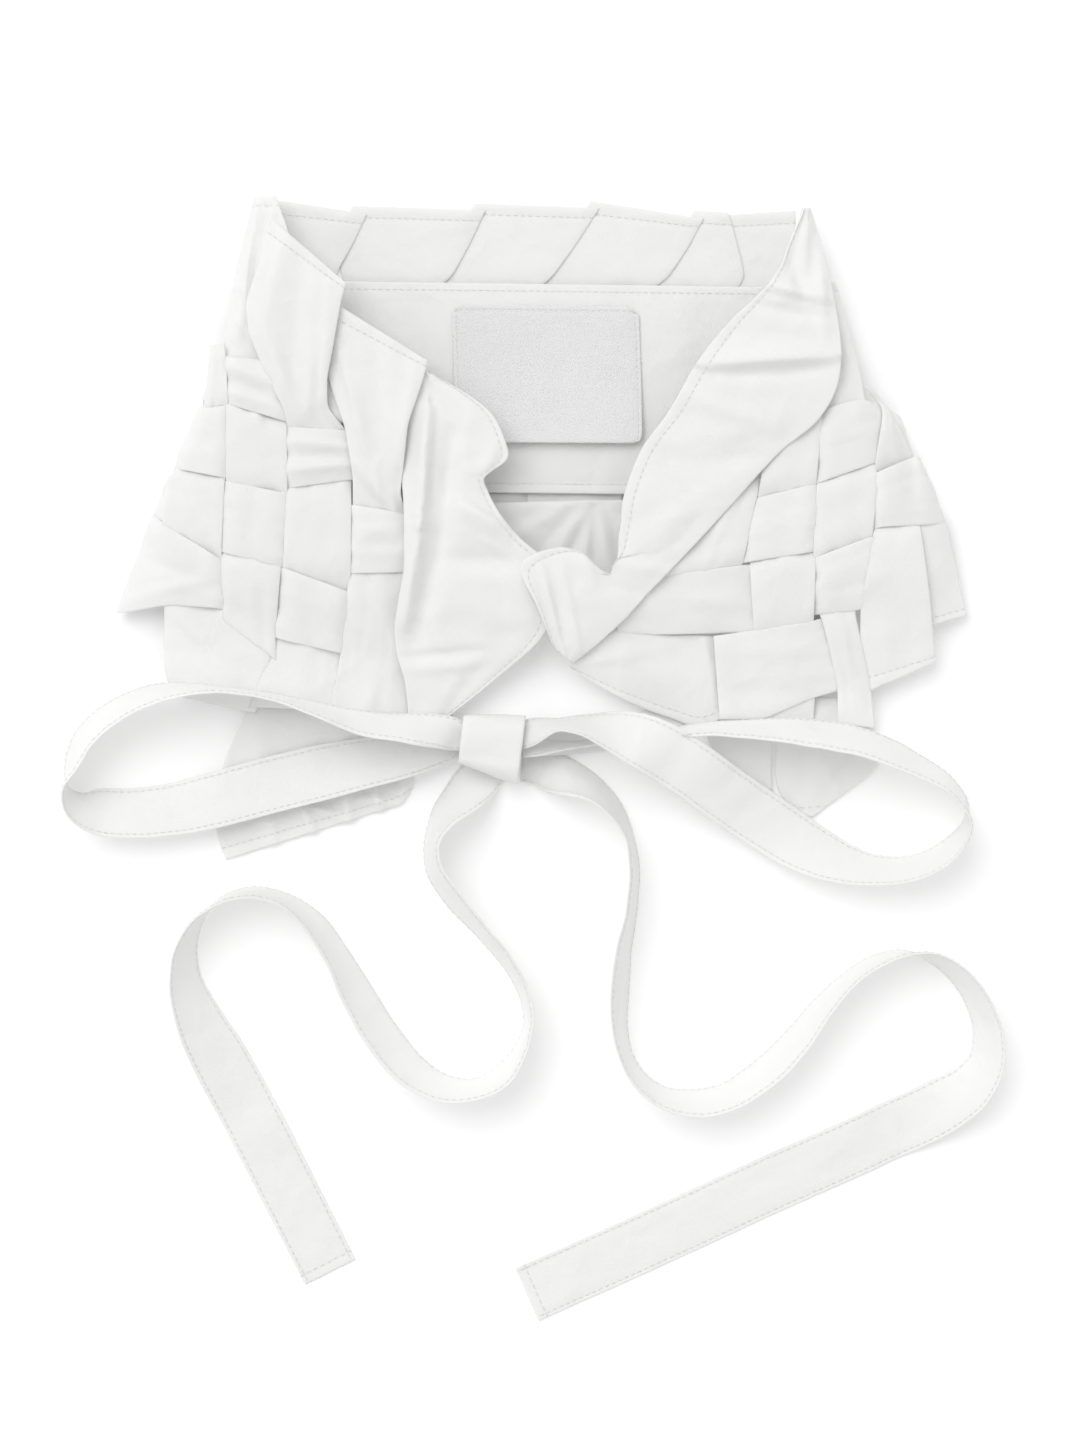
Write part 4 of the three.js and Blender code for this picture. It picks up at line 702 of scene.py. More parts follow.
# %% Left front weave
# rows: (y, left, right) of a strip, (x, low, high) of a band
# top, end, reach: rungs as (left x, left y, height, right x, right y, height) over the front
# wrap: rungs round the side as (left x, left y, right x, right y, height over the table)
# crosses, laid: how many of the strips a band is woven through
left_strips = [
  {
    "name": "left_strip_a",
    "rows": [
      (172, -135, -130), (150, -136, -128.5), (124, -146, -129.4), (118, -152.5, -130),
      (100, -154.5, -131.7), (66, -153, -130.8),
    ],
    "top": [(-134.5, 174, 1.6, -130.5, 174.5, 1.6)],
    "end": [
      (-153.3, 58, -1.2, -130.5, 60.5, 0.4), (-153.3, 49, -0.8, -119.5, 52.4, 0.6),
      (-153.2, 40, -0.5, -110.3, 44, 0.6), (-152, 32, -0.5, -113, 31, 0.6),
      (-146, 26, -0.5, -118, 20, 0.6),
    ],
  },
  {
    "name": "left_strip_b",
    "rows": [
      (168, -128, -104), (130, -126.8, -104), (112, -127.3, -103.7), (86, -129.2, -106),
      (52, -128.2, -109),
    ],
    "top": [
      (-116.5, 237, -6, -109, 236.5, -1), (-120.5, 220, -6, -103, 220, -1),
      (-124.5, 202, -6, -103, 202, -1), (-127.3, 185, -5, -103, 184, -1),
      (-128.5, 174, -3, -104, 173, -1.6),
    ],
    "end": [(-128.8, 58, 1.2, -108.5, 42.5, 1.2)],
  },
  {
    "name": "left_strip_c",
    "rows": [(138, -101, -78), (118, -101.4, -77), (82, -103, -77), (46, -107, -80)],
    "top": [
      (-108, 225.5, 4, -78.8, 199.9, 6), (-113, 208, 4, -81, 193, 6), (-119, 190.3, 3.8, -83, 182, 5.5),
      (-117, 177, 3.8, -85, 170, 5), (-111, 163, 3.8, -87, 160, 4.2), (-103, 147.5, 3.6, -87, 147, 2.4),
    ],
    "end": [(-112.5, 35, 1.6, -80.5, 32, 0), (-118, 22, 1.6, -82, 21, 0)],
  },
  {
    "name": "left_strip_d",
    "rows": [(105, -74, -54), (79, -75.5, -53), (45, -79, -54)],
    "top": [
      (-79.5, 189.2, 2.4, -44.9, 167.4, 6), (-83.5, 176, 1.2, -46.5, 161, 6),
      (-85.6, 164, 0.8, -50, 150, 6), (-83, 155, 2.2, -53, 141, 6), (-77, 138, 3.8, -54.5, 128, 5.2),
      (-74, 119, 3.6, -56.5, 112, 2.4),
    ],
    "end": [(-84, 20, 1.4, -53.5, 19, 0.4)],
  },
]
left_bands = [
  {
    "name": "left_band_1",
    "rows": [(-138, 152, 171), (-128, 150.4, 167.6), (-100, 142, 165), (-78, 142.5, 158)],
    "over": ["left_strip_b"],
    "crosses": 3,
    "wrap": [(-130, 171, -134.5, 153, 1.2), (-133.5, 170, -140, 152.5, 6)],
  },
  {
    "name": "left_band_2",
    "rows": [
      (-150, 123.6, 145), (-127, 119, 147.3), (-104, 114.8, 138.2), (-78, 118.5, 136.8), (-62, 118, 134),
    ],
    "over": ["left_strip_a", "left_strip_c"],
    "crosses": 3,
    "wrap": [(-134, 149.5, -146, 122, 1.2), (-139.8, 150, -151.2, 123.2, 7)],
    "reach": [(-66, 133, -1.6, -66, 118.5, -1.6)],
  },
  {
    "name": "left_band_3",
    "rows": [
      (-154, 101, 118), (-131, 88.5, 116), (-103, 81.5, 110.3), (-77, 79.4, 105.8), (-53, 79.8, 102),
    ],
    "over": ["left_strip_b", "left_strip_d"],
    "crosses": 4,
    "wrap": [(-150, 117, -155, 102, 1.2), (-154.5, 118, -160.4, 103, 5.5)],
    "reach": [(-46, 101, 0.6, -46, 81, 0.6)],
  },
  {
    "name": "left_band_4",
    "rows": [(-154, 66.5, 97), (-129, 64.5, 82), (-107, 52, 80), (-78, 45.4, 69.5), (-58, 42, 64)],
    "over": ["left_strip_a", "left_strip_c"],
    "crosses": 4,
    "wrap": [(-157.5, 101, -170, 64.5, 1.4), (-161, 102.5, -176.4, 62.5, 6)],
  },
]
strip_folds = {
  "left_strip_b": [
    (-122, 178, -113, 234, 2.4, 3.0, 1.3), (-115, 176, -108, 232, 2.0, 2.2, 1.2),
    (-109, 172, -105, 216, 2, 1.8, 1.2), (-124, 184, -106, 170, 2.2, 0.9),
    (-126, 160, -106, 152, 2.4, 0.5),
  ],
  "left_strip_c": [
    (-104, 221, -112, 184, 4, 1.6, 2), (-96, 214, -101, 150, 4, -1.8),
    (-85, 198, -88, 150, 3, 1.6, 1.6), (-115, 186, -100, 150, 2.6, 1.2), (-92, 168, -94, 144, 2.2, 1.2),
  ],
  "left_strip_d": [
    (-80, 170, -70, 130, 3.2, 1.8, 1.6), (-66, 182, -63, 130, 4, -1.8), (-49, 166, -56, 124, 2.8, 1.6),
    (-73, 124, -57, 105, 1.8, 1.0), (-75, 119, -60, 102, 1.8, -0.9),
  ],
  "left_strip_a": [(-148, 60, -124, 34, 3, 1.4, 1.6), (-142, 50, -120, 38, 3, -1.0)],
}
strip_hems = {f"left_strip_{letter}": (("start", 4.0),) for letter in "bcd"}
for strip in left_strips:
    bands = {"left_strip_c": left_bands[1:], "left_strip_d": left_bands[2:]}.get(strip["name"], left_bands)
    dress_strip(strip, bands, strip_folds, strip_hems, "left_band_3_cloth")
band_folds = {
  "left_band_1": [
    (-128, 166, -104, 156, 2.2, 1.3), (-128, 160, -106, 150, 2.0, -1.3),
    (-126, 154, -104, 148, 2.0, 0.9), (-136, 168, -138, 156, 2.2, -1.0),
  ],
  "left_band_2": [
    (-102, 134, -75, 131, 2.0, 1.7), (-102, 128, -76, 126.5, 1.9, -1.8),
    (-102, 121.5, -76, 124, 2.0, 1.5),
  ],
  "left_band_3": [
    (-72, 96, -56, 97, 2.2, 1.0), (-72, 90, -54, 91, 2.0, -1.0), (-126, 110, -106, 106, 3, 0.5),
  ],
  "left_band_4": [
    (-168, 67, -132, 76, 3.4, 1.2, 1.8), (-166, 88, -134, 74, 4, -1.0), (-104, 70, -84, 64, 3, 0.5),
  ],
}
for band in left_bands:
    rungs = wrap_rungs(band["wrap"])
    rungs += band_rungs(band, left_strips[: band["crosses"]], front_level, FRONT_RISES)
    rungs += panel_rungs(band.get("reach", []))
    cloth_wall(band["name"], rungs, folds=band_folds.get(band["name"], ()),
               lay=("folded", ["left_strip_b_cloth"]), **FRONT_WEAVE)
print("left front pieces:", sum(name.startswith("left") for name in walls))

# %% [markdown]
# ## Right front
#
# The same weave with five strips. Two of them end below it as loose hemmed tabs.

# %% Right front weave
right_strips = [
  {
    "name": "right_strip_e",
    "rows": [(122, 82, 95), (100, 70, 90.5), (78, 56, 86), (57, 52, 78)],
    "top": [(86, 126, -1.2, 97.3, 124, -1.6)],
    "end": [],
  },
  {
    "name": "right_strip_d",
    "rows": [
      (145, 100, 120), (125, 98, 117.5), (100, 94, 118), (85, 92, 117.3), (54, 94, 116.5), (20, 97, 118),
    ],
    "top": [(102, 156, 0, 123, 158, 0)],
    "end": [(98, 14.5, -1.2, 117, 17, -1.2)],
  },
  {
    "name": "right_strip_b",
    "rows": [
      (150, 123.5, 138.5), (120, 120.5, 143.4), (85, 118.5, 140.5), (62, 121, 133), (45, 129, 139),
      (28, 129.5, 141),
    ],
    "top": [
      (104, 201, -1, 126, 201, -5.5), (108, 190, -1, 129.5, 190, -5), (114, 175, -1, 133, 175.5, -4),
      (118, 160, -1.6, 136.6, 160, -2),
    ],
    "end": [(129.5, 15.5, 1.4, 142.5, 13.5, 1.2)],
  },
  {
    "name": "right_strip_c",
    "rows": [
      (143, 147.8, 151.5), (126, 145.2, 159.5), (119, 144.4, 160), (98, 144.4, 161.3), (65, 139, 165.5),
    ],
    "top": [(140.5, 156, 1.2, 142.5, 155, 0.6)],
    "end": [(138.8, 50, 0.8, 167, 50, -0.6), (142.5, 29.5, 0.8, 168, 40.5, -1.2)],
  },
  {
    "name": "right_strip_f",
    "rows": [(122, 161.6, 164), (105, 162.6, 171.5), (64, 167.6, 182)],
    "top": [],
    "end": [(167.6, 56.5, -3, 181.4, 60.5, -5)],
  },
]
right_bands = [
  {
    "name": "right_band_1",
    "rows": [(96, 112, 137), (119, 117, 145), (140, 124.5, 150.6), (152, 129, 146)],
    "over": ["right_strip_b"],
    "strips": ["right_strip_d", "right_strip_b", "right_strip_c"],
    "wrap": [(156, 143, 160.5, 128.5, 6.5), (152, 143, 156, 129, 1.2)],
  },
  {
    "name": "right_band_2",
    "rows": [(68, 80, 103), (94, 84.8, 108.6), (119, 88.6, 114.4), (144, 98.7, 119), (160, 99.7, 126)],
    "over": ["right_strip_d", "right_strip_c", "right_strip_f"],
    "strips": ["right_strip_e", "right_strip_d", "right_strip_b", "right_strip_c", "right_strip_f"],
    "wrap": [(165.4, 123, 174, 101, 8), (162, 122, 170, 102, 1.3)],
  },
  {
    "name": "right_band_3",
    "rows": [
      (34, 53.5, 68), (61, 53.8, 78.5), (79, 54.2, 76), (86, 54.4, 80), (94, 54.6, 80.5),
      (117, 62, 82.7), (135, 63.5, 91), (156, 66, 95),
    ],
    "over": ["right_strip_e", "right_strip_b"],
    "strips": ["right_strip_e", "right_strip_d", "right_strip_b", "right_strip_c"],
    "laid": 3,
    "start": [(38, 69.5, 1.2, 35, 54, 1.2)],
    "reach": [(151, 93.5, -1.8, 151, 67, -1.8)],
    "wrap": [(158, 93.5, 158, 67, 8.5), (160, 93.5, 160, 67, 4.5), (156, 93.5, 156, 67, 1.2)],
  },
  {
    "name": "right_band_4",
    "rows": [
      (77, 18, 51.5), (100, 18.5, 53.6), (114, 25, 54.6), (119, 28, 58.5), (128, 30.5, 58.5),
      (142, 32, 50),
    ],
    "over": ["right_strip_d"],
    "strips": ["right_strip_d", "right_strip_b"],
    "start": [(76, 50.6, 1.6, 78.5, 18.2, 1.6)],
    "wrap": [],
  },
]
strip_folds = {
  "right_strip_b": [(118, 196, 128, 160, 2.6, -1.2), (126, 198, 134, 156, 2.4, 1.2)],
  "right_strip_c": [(146, 62, 150, 36, 3.5, 1.0), (158, 60, 158, 40, 3.5, -0.9)],
  "right_strip_d": [(104, 50, 106, 20, 4, 0.9)],
  "right_strip_e": [(88, 118, 72, 82, 2.2, 0.8)],
}
strip_hems = {
  "right_strip_c": (("end", 4.0),),
  "right_strip_f": (("end", 3.0),),
  "right_strip_b": (("start", 4.0),),
}
for strip in right_strips:
    bands = [band for band in right_bands if strip["name"] in band["strips"]]
    dress_strip(strip, bands, strip_folds, strip_hems, "right_band_3_cloth")
band_folds = {
  "right_band_1": [(122, 138, 138, 144, 2.4, 0.8), (122, 130, 138, 135, 2.2, -0.7)],
  "right_band_3": [(122, 78, 146, 86, 2.6, 0.9), (122, 70, 140, 74, 2.4, -0.8), (60, 68, 90, 66, 3, 0.6)],
  "right_band_4": [(84, 44, 118, 48, 4, 0.8), (84, 28, 110, 30, 4, -0.7)],
}
for band in right_bands:
    strips = [strip for name in band["strips"] for strip in right_strips if strip["name"] == name]
    rungs = panel_rungs(band.get("start", []))
    rungs += band_rungs(band, strips[: band.get("laid", len(strips))], front_level, FRONT_RISES)
    rungs += panel_rungs(band.get("reach", [])) + wrap_rungs(band["wrap"])
    cloth_wall(band["name"], rungs, folds=band_folds.get(band["name"], ()),
               lay=("folded", ["right_strip_b_cloth"]), **FRONT_WEAVE)
print("right front pieces:", sum(name.startswith("right") for name in walls))

# %% [markdown]
# ## Smooth panels
#
# The fronts end in plain panels. The left one has a free wavy edge. The right one is a large lapel
# that turns back, with a stitched rolled hem and a pointed tip. Long hemmed panels lie low behind the
# bow.

# %% Panels
left_front_panel = [
  (-47, 163, 2, -42, 161.3, 3), (-50, 154, 2, -30, 154.5, 4.4), (-52, 145, 2, -18, 145.5, 5.6),
  (-53, 135, 1.8, -11.8, 134, 6), (-54.5, 125.5, 2, -10.6, 125.8, 5.4),
  (-54.5, 117, 2.6, -20.2, 117.6, 3.6), (-54, 110, 3.4, -18.6, 112.2, 3.4),
  (-53.5, 100, 4, -12.5, 101.3, 4), (-53.5, 91, 4, -4.3, 91.9, 4), (-53.5, 81, 4, 6.2, 82.6, 4),
  (-56, 66, 4, 7, 68, 4), (-57.5, 53, 4, 6, 54.6, 4), (-57, 47, 4, 2.7, 50, 4),
  (-53.5, 33, 3.4, -16, 33.5, 2.8), (-52, 17, 2.4, -37, 17, 1.4),
]
right_lapel = [
  (113.8, 231.5, 2, 116.6, 232, -1), (109, 219.5, 2.4, 119.5, 222.5, 0),
  (103.5, 206, 3, 122.8, 210, 1.5), (95, 195, 5, 126, 195, 3), (83, 183.5, 6, 128.6, 177, 4),
  (69.2, 166.6, 6.5, 127.6, 158, 4), (57.3, 146, 6, 119, 142, 4.2), (44.8, 128, 6, 104, 129.5, 4.2),
  (38.2, 110, 6, 94, 119, 4.2), (36.5, 96, 6, 81, 104.5, 4.2), (33, 84.8, 5, 70, 92.5, 4.4),
  (22.5, 86.5, 4.6, 60, 82, 4.6), (12, 88.8, 6, 49, 70.5, 5), (-5, 79.5, 8, 36, 56.5, 6),
  (1.5, 65, 8, 26, 47.5, 6.4), (9, 47, 7.4, 17, 40.5, 6.6),
]
right_front_panel = [
  (16.5, 42.5, 2.6, 15.5, 38.6, 2.6), (37, 54.5, 1.2, 37, 26, 0), (58, 52.2, -1.2, 58, 17.8, -1.8),
  (71, 52.4, -1.2, 72, 14, -1.2), (83, 50.5, -1.6, 83, 20, -1.2),
]
low_panels = [
  {
    "name": "left_lower_panel",
    "rows": [
      (-117, 28, 3.4, -50, 24, 3.4), (-120.5, 19, 3.2, -50, 14, 3.2), (-130.5, -4, 2.6, -50, 0, 2.6),
      (-133, -29.8, 1.8, -50, -9, 2), (-129.3, -42, 1.1, -49.8, -16.8, 1.1),
    ],
    "folds": [
      (-118, 26, -112, -34, 6, 0.9), (-84, 20, -78, -22, 6, 0.9), (-112, -22, -108, -36, 3, 1.2),
      (-100, -14, -91, -33, 2.8, 2.2), (-92, -20, -78, -25, 2.2, 1.6), (-82, -8, -76, -27, 2.6, 2.0),
      (-70, -4, -63, -23, 2.6, 2.2), (-72, -16, -56, -18, 2.2, 1.5), (-57, 4, -54, -17, 2.4, 1.2),
    ],
    "pulls": [(-49.8, -16.8, -2, 2.4, 4)],
  },
  {
    "name": "right_lower_inner",
    "rows": [
      (72, 27, 2.6, 99.5, 27, 2.6), (74, 9, 2.6, 100.5, 8, 2.6), (80, -2, 2, 100.5, -8, 2),
      (90, -10, 1.2, 101.5, -16, 1.2),
    ],
    "folds": [],
  },
  {
    "name": "right_lower_outer",
    "rows": [
      (103, 27, 2.6, 142, 26, 2.6), (102.7, 8, 2.6, 144, 8, 2.6), (102.4, -6.7, 2.2, 145, -3, 2.2),
      (105.5, -16, 1.6, 132, -13.5, 1.6), (113.5, -23.5, 1, 118, -24, 1),
    ],
    "folds": [
      (122, 26, 118, -18, 6, 1.0), (114, 12, 128, -12, 3, 1.1), (136, 10, 126, -10, 3, -1.0),
      (108, 20, 112, -12, 3, -0.9),
    ],
  },
]
left_front_folds = [
  (-46, 100, -43, 146, 5, 5.4, 2), (-52, 60, -46, 100, 5, 5.4, 2), (-34, 136, -38, 96, 4, -3.2),
  (-38, 96, -49, 50, 4, -3.4), (-12, 97, -30, 107, 5, 3.8, 2.4), (-36, 84, -6, 83, 5, -3.2),
  (-53.3, 43, -20.7, 46, 2.2, -1.6), (-50, 38, -22, 41, 2.6, 1.0), (-14, 132, -22, 116, 3, 1.4),
  (-26, 146, -30, 124, 4, 1.4), (-36, 66, -4, 58, 6, 1.2), (-50, 156, -52, 120, 3, 1.0),
  (-20, 92, 0, 78, 2.4, 1.0, 1.6), (-44, 60, -30, 36, 4, 1.0, 2),
]
lapel_folds = [
  (71.5, 164.6, 127, 168.2, 6, 4.2, 1.6), (76, 160.6, 124, 163.4, 2.8, -1.8),
  (60, 118, 100, 133, 8, -1.6), (48, 92, 78, 112, 6, 1.8), (116, 224, 112, 200, 2.4, 1.0),
  (108, 214, 114, 190, 3, -1.8), (120, 210, 122, 176, 2.8, 1.6), (98, 198, 122, 192, 3.4, 3.2, 1.6),
  (94, 190, 122, 185, 2.4, -2.2), (84, 178, 118, 176, 3.5, -1.0), (40, 108, 84, 122, 6, 1.2),
  (13, 44, 4, 80, 2.2, 2.0, 1.3), (10, 46, -1, 76, 1.8, 1.5, 1.2), (20, 46, 12, 82, 2.6, 1.2, 1.4),
  (64, 152, 100, 140, 4, 1.2), (52, 134, 72, 106, 5, -1.1), (34, 82, 60, 78, 3, 1.2),
  (30, 74, 52, 68, 3.5, -1.2), (20, 88, 26, 72, 2.4, 1.4),
]
right_panel_folds = [(40, 42, 70, 30, 6, 0.8), (71, 54, 76, 24, 2.6, 1.4, 1.4), (20, 40, 60, 48, 4, 0.8, 2)]


def table_level(x, y):
    return 0


cloth_wall("left_front_panel", panel_rungs(left_front_panel), crown=0.4, folds=left_front_folds, crease=0.6,
           hems=(("right", 2.4),), pitch=1.2, lay=("draped", ["left_strip_d_cloth"]))
cloth_wall("right_lapel", panel_rungs(right_lapel), crown=0.6, folds=lapel_folds, crease=0.6,
           pulls=[(28, 86, 3, -7, 6)], hems=(("left", 3.0),), pitch=1.2,
           lay=("draped", ["right_strip_d_cloth"]))
cloth_wall("right_front_panel", panel_rungs(right_front_panel), crown=0.6, crease=0.4,
           folds=right_panel_folds, hems=(("right", 3.0),), lay=("draped", ["right_band_3_cloth"]))
for panel in low_panels:
    folds = [(x0, y0, x1, y1, wide * 0.8, high * 1.2) for x0, y0, x1, y1, wide, high in panel["folds"]]
    cloth_wall(panel["name"], panel_rungs(panel["rows"], table_level), crown=0.3, folds=folds, crease=0.3,
               pulls=panel.get("pulls", ()), hems=(("end", 4.0),), lay=("laid", ["table"]))
print("panels done, pieces so far:", len(walls))

# %% [markdown]
# ## The tie
#
# The tie is one flat ribbon, sewn along both edges, that stands on edge wherever it bends. Its table
# gives the middle of the ribbon, how far its width has turned from lying flat, how high its lower edge
# is, and its width where it is crumpled into the knot.

# %% Ribbons
# rows: (x, y, lean, lift, wide). A row that says no lift or width has the usual ones.
ribbons = [
  {
    "name": "left_loop",
    "rows": [
      (-20, 8.5, 4, 11.4, 11), (-27, 9.5, 8, 11, 12), (-31, 10.2, 12, 10.9, 13),
      (-36, 11.4, 34, 10.8, 17), (-50, 13, 57, 11), (-70, 15.2, 65, 11.6), (-90, 21, 77, 11.6),
      (-105, 25.4, 83, 11.6), (-120, 28.2, 85, 11.6), (-137, 29.4, 81, 11.6), (-156.9, 27.7, 70, 9),
      (-173.5, 21.2, 66, 5), (-187, 10, 66, 2), (-193.6, -3.5, 74, 0.2), (-195.4, -12, 92, 0.2),
      (-191, -18.5, 118, 0.2), (-182, -21.5, 142, 0.2), (-170, -22.4, 148, 0.4),
      (-152, -20.8, 156, 1.5), (-132, -16.4, 166, 4.2), (-111, -10.8, 168, 4.8), (-90, -5.6, 166, 5),
      (-71, -1.4, 164, 5, 22), (-52, 1.8, 164, 5.6, 18), (-37, 5.2, 168, 6.4, 13),
      (-28, 7.6, 174, 7.2, 10), (-20, 8, 180, 7.6, 11),
    ],
  },
  {
    "name": "right_loop",
    "rows": [
      (-12, 9, 176, 11.2, 11), (-6, 9.8, 168, 10.6, 11), (2, 12.8, 128, 7, 16), (9, 14.6, 106, 7, 20),
      (18, 14.8, 108, 7.6), (34, 12, 136, 10), (50, 6, 168, 18.5, 25), (65, -3, 184, 17, 25),
      (81, -14.5, 182, 11.4, 25), (98, -26, 176, 5, 24.5), (115, -36.5, 158, 1),
      (131.7, -43.7, 134, 0.2), (149, -46.2, 118, 0.2), (164, -43.6, 113, 0.2), (176, -36, 108, 0.2),
      (182, -27, 96, 0.4), (181, -19, 80, 1.5), (174.5, -10.5, 73, 3.5), (160.5, -2, 66, 6.5),
      (139, 7, 61, 9.6), (115, 11.5, 62, 9.8), (91, 13, 68, 9.4, 20), (70, 12.6, 68, 8.2, 13),
      (50, 10, 68, 7.4, 8.5), (30, 7.6, 78, 6, 8), (12, 5.6, 60, 6, 8), (-2, 5.4, 14, 7.2, 9),
      (-12, 6, 2, 7.4, 10),
    ],
  },
  {
    "name": "left_tail",
    "rows": [
      (-14, 0.5, 0, 0.1, 14), (-21, -6.5, 8, 0.1, 18), (-29, -15, 40, 0.1, 22), (-37.5, -24, 62),
      (-42.2, -35, 73), (-41, -46, 71), (-34, -57, 69), (-23.5, -69, 74), (-11.3, -83.5, 76),
      (-3.8, -96.6, 78.5), (-1.3, -110, 81), (-4.3, -121.5, 78), (-12.5, -132.5, 70),
      (-25.4, -138.6, 71), (-39, -137.2, 65), (-51.6, -129.5, 56), (-63.6, -115, 54),
      (-73.7, -98.3, 58), (-82.7, -81.5, 67), (-92, -68.5, 71), (-103, -59.6, 78), (-115.8, -55.8, 81),
      (-128.7, -58.2, 85), (-139.4, -66.6, 96), (-145, -78, 108), (-145.6, -92, 121),
      (-140.5, -108, 140), (-131.5, -126, 163), (-121, -146, 180), (-103, -181, 180),
      (-85.3, -215.9, 180, 0.1, 23.5),
    ],
  },
  {
    "name": "right_tail",
    "rows": [
      (-4.8, -3.7, 180, 1, 11), (3, -4.4, 172, 0.5, 14), (13.5, -7, 136, 0.1, 22), (25, -12, 116),
      (34.5, -21, 107), (39.8, -31, 99), (42.2, -43, 100), (41.6, -60, 101), (38.1, -79.5, 106),
      (36.3, -96.6, 108), (36.2, -111.7, 105), (39.5, -125.7, 104), (46.8, -136.3, 107),
      (57, -142.4, 111), (69.5, -144, 116), (81.5, -141.6, 117), (94, -134, 119), (110, -119, 117),
      (122.5, -103, 109), (135, -90.8, 102), (146, -84, 99), (156.5, -81.3, 92), (167.5, -83.2, 79),
      (179, -91, 72), (187, -102.3, 67), (191.2, -115, 62), (190.4, -126.5, 54), (184, -137, 38),
      (172.7, -145.3, 18), (150, -156.5, 0), (100, -179, 0), (50, -202, 0), (-2.3, -225.4, 0),
    ],
  },
  {
    "name": "left_tie_end",
    "rows": [
      (-20, 8.5, 0, 4.2, 11), (-29, 8.8, 0, 4.2, 9), (-38, 13, 0, 4.4, 14), (-46, 20, 0, 4.4, 16),
    ],
  },
  {
    "name": "right_tie_end",
    "rows": [
      (-12, 6.5, 0, 4.2, 11), (0, 7, 0, 4, 11), (24, 9, 0, 3, 12), (46, 13, 0, 2, 14),
      (63, 18, 0, 1.6, 16),
    ],
  },
]
USUAL_LIFT, RIBBON_WIDE = 0.1, 24
CLOTH = 1.1


def ribbon_rungs(rows, parts=4):
    """Rungs square to a ribbon's run, `parts` for each row."""
    table_rows = np.array([row + (USUAL_LIFT, RIBBON_WIDE)[len(row) - 3:] for row in rows], dtype=float)
    spots = table_rows[:, [0, 1, 3]]
    at = np.concatenate([[0], np.cumsum(np.linalg.norm(np.diff(spots, axis=0), axis=1))])
    steps = [low + (high - low) * np.arange(parts) / parts for low, high in zip(at[:-1], at[1:])]
    stops = np.concatenate(steps + [at[-1:]])
    path = smooth_through(at, spots, stops)
    turn = smooth_through(at, table_rows[:, [2, 4]], stops)
    run = np.gradient(path, axis=0)
    side = np.stack([-run[:, 1], run[:, 0], np.zeros(len(run))], axis=1)
    side /= np.linalg.norm(side, axis=1, keepdims=True)
    lean, half = np.radians(turn[:, 0]), np.minimum(turn[:, 1], RIBBON_WIDE) / 2
    rung = side * (np.cos(lean) * half)[:, None]
    rung[:, 2] = np.sin(lean) * half
    path[:, 2] += np.abs(np.sin(lean)) * half + CLOTH / 2
    return [(tuple(p + r), tuple(p - r)) for p, r in zip(path, rung)]


for ribbon in ribbons:
    hems = [("left", 1.5), ("right", 1.5)]
    if ribbon["name"].endswith("_tail"):
        hems.append(("end", 4.0))
    hidden = ribbon["name"].endswith("tie_end")
    cloth_wall(ribbon["name"], ribbon_rungs(ribbon["rows"]), crown=0.25, crease=0.3, pitch=1.5,
               hems=() if hidden else tuple(hems), lay=("folded", ["table"]))
    print(ribbon["name"], "length, mm:", round(walls[ribbon["name"]]["length"]))

# %% [markdown]
# ## The knot
#
# One turn of the ribbon goes round the strands. A plain tube would look like a pipe, so the turn is an
# oval sleeve that widens towards the right, with the drawn-in folds that a pulled knot has.

# %% Knot
KNOT = {"bottom": 1.7, "top": 17.0, "slant": 0.12, "sides": 96, "rings": 26, "wall": 1.0}
# x, low y, high y
knot_sections = [(-30, -1.3, 18.9), (-22, -4.2, 19.2), (-13, -7.8, 19.2), (-4.5, -10.6, 18.7)]
# place round, width, height
knot_folds = [(0.18, 0.16, 1.1), (0.34, 0.1, -0.9), (0.62, 0.12, 0.8), (0.8, 0.08, -0.7)]


def rounded(value):
    """Bends a circle's coordinate towards an oval with flatter sides."""
    return np.sign(value) * np.abs(value) ** 0.75


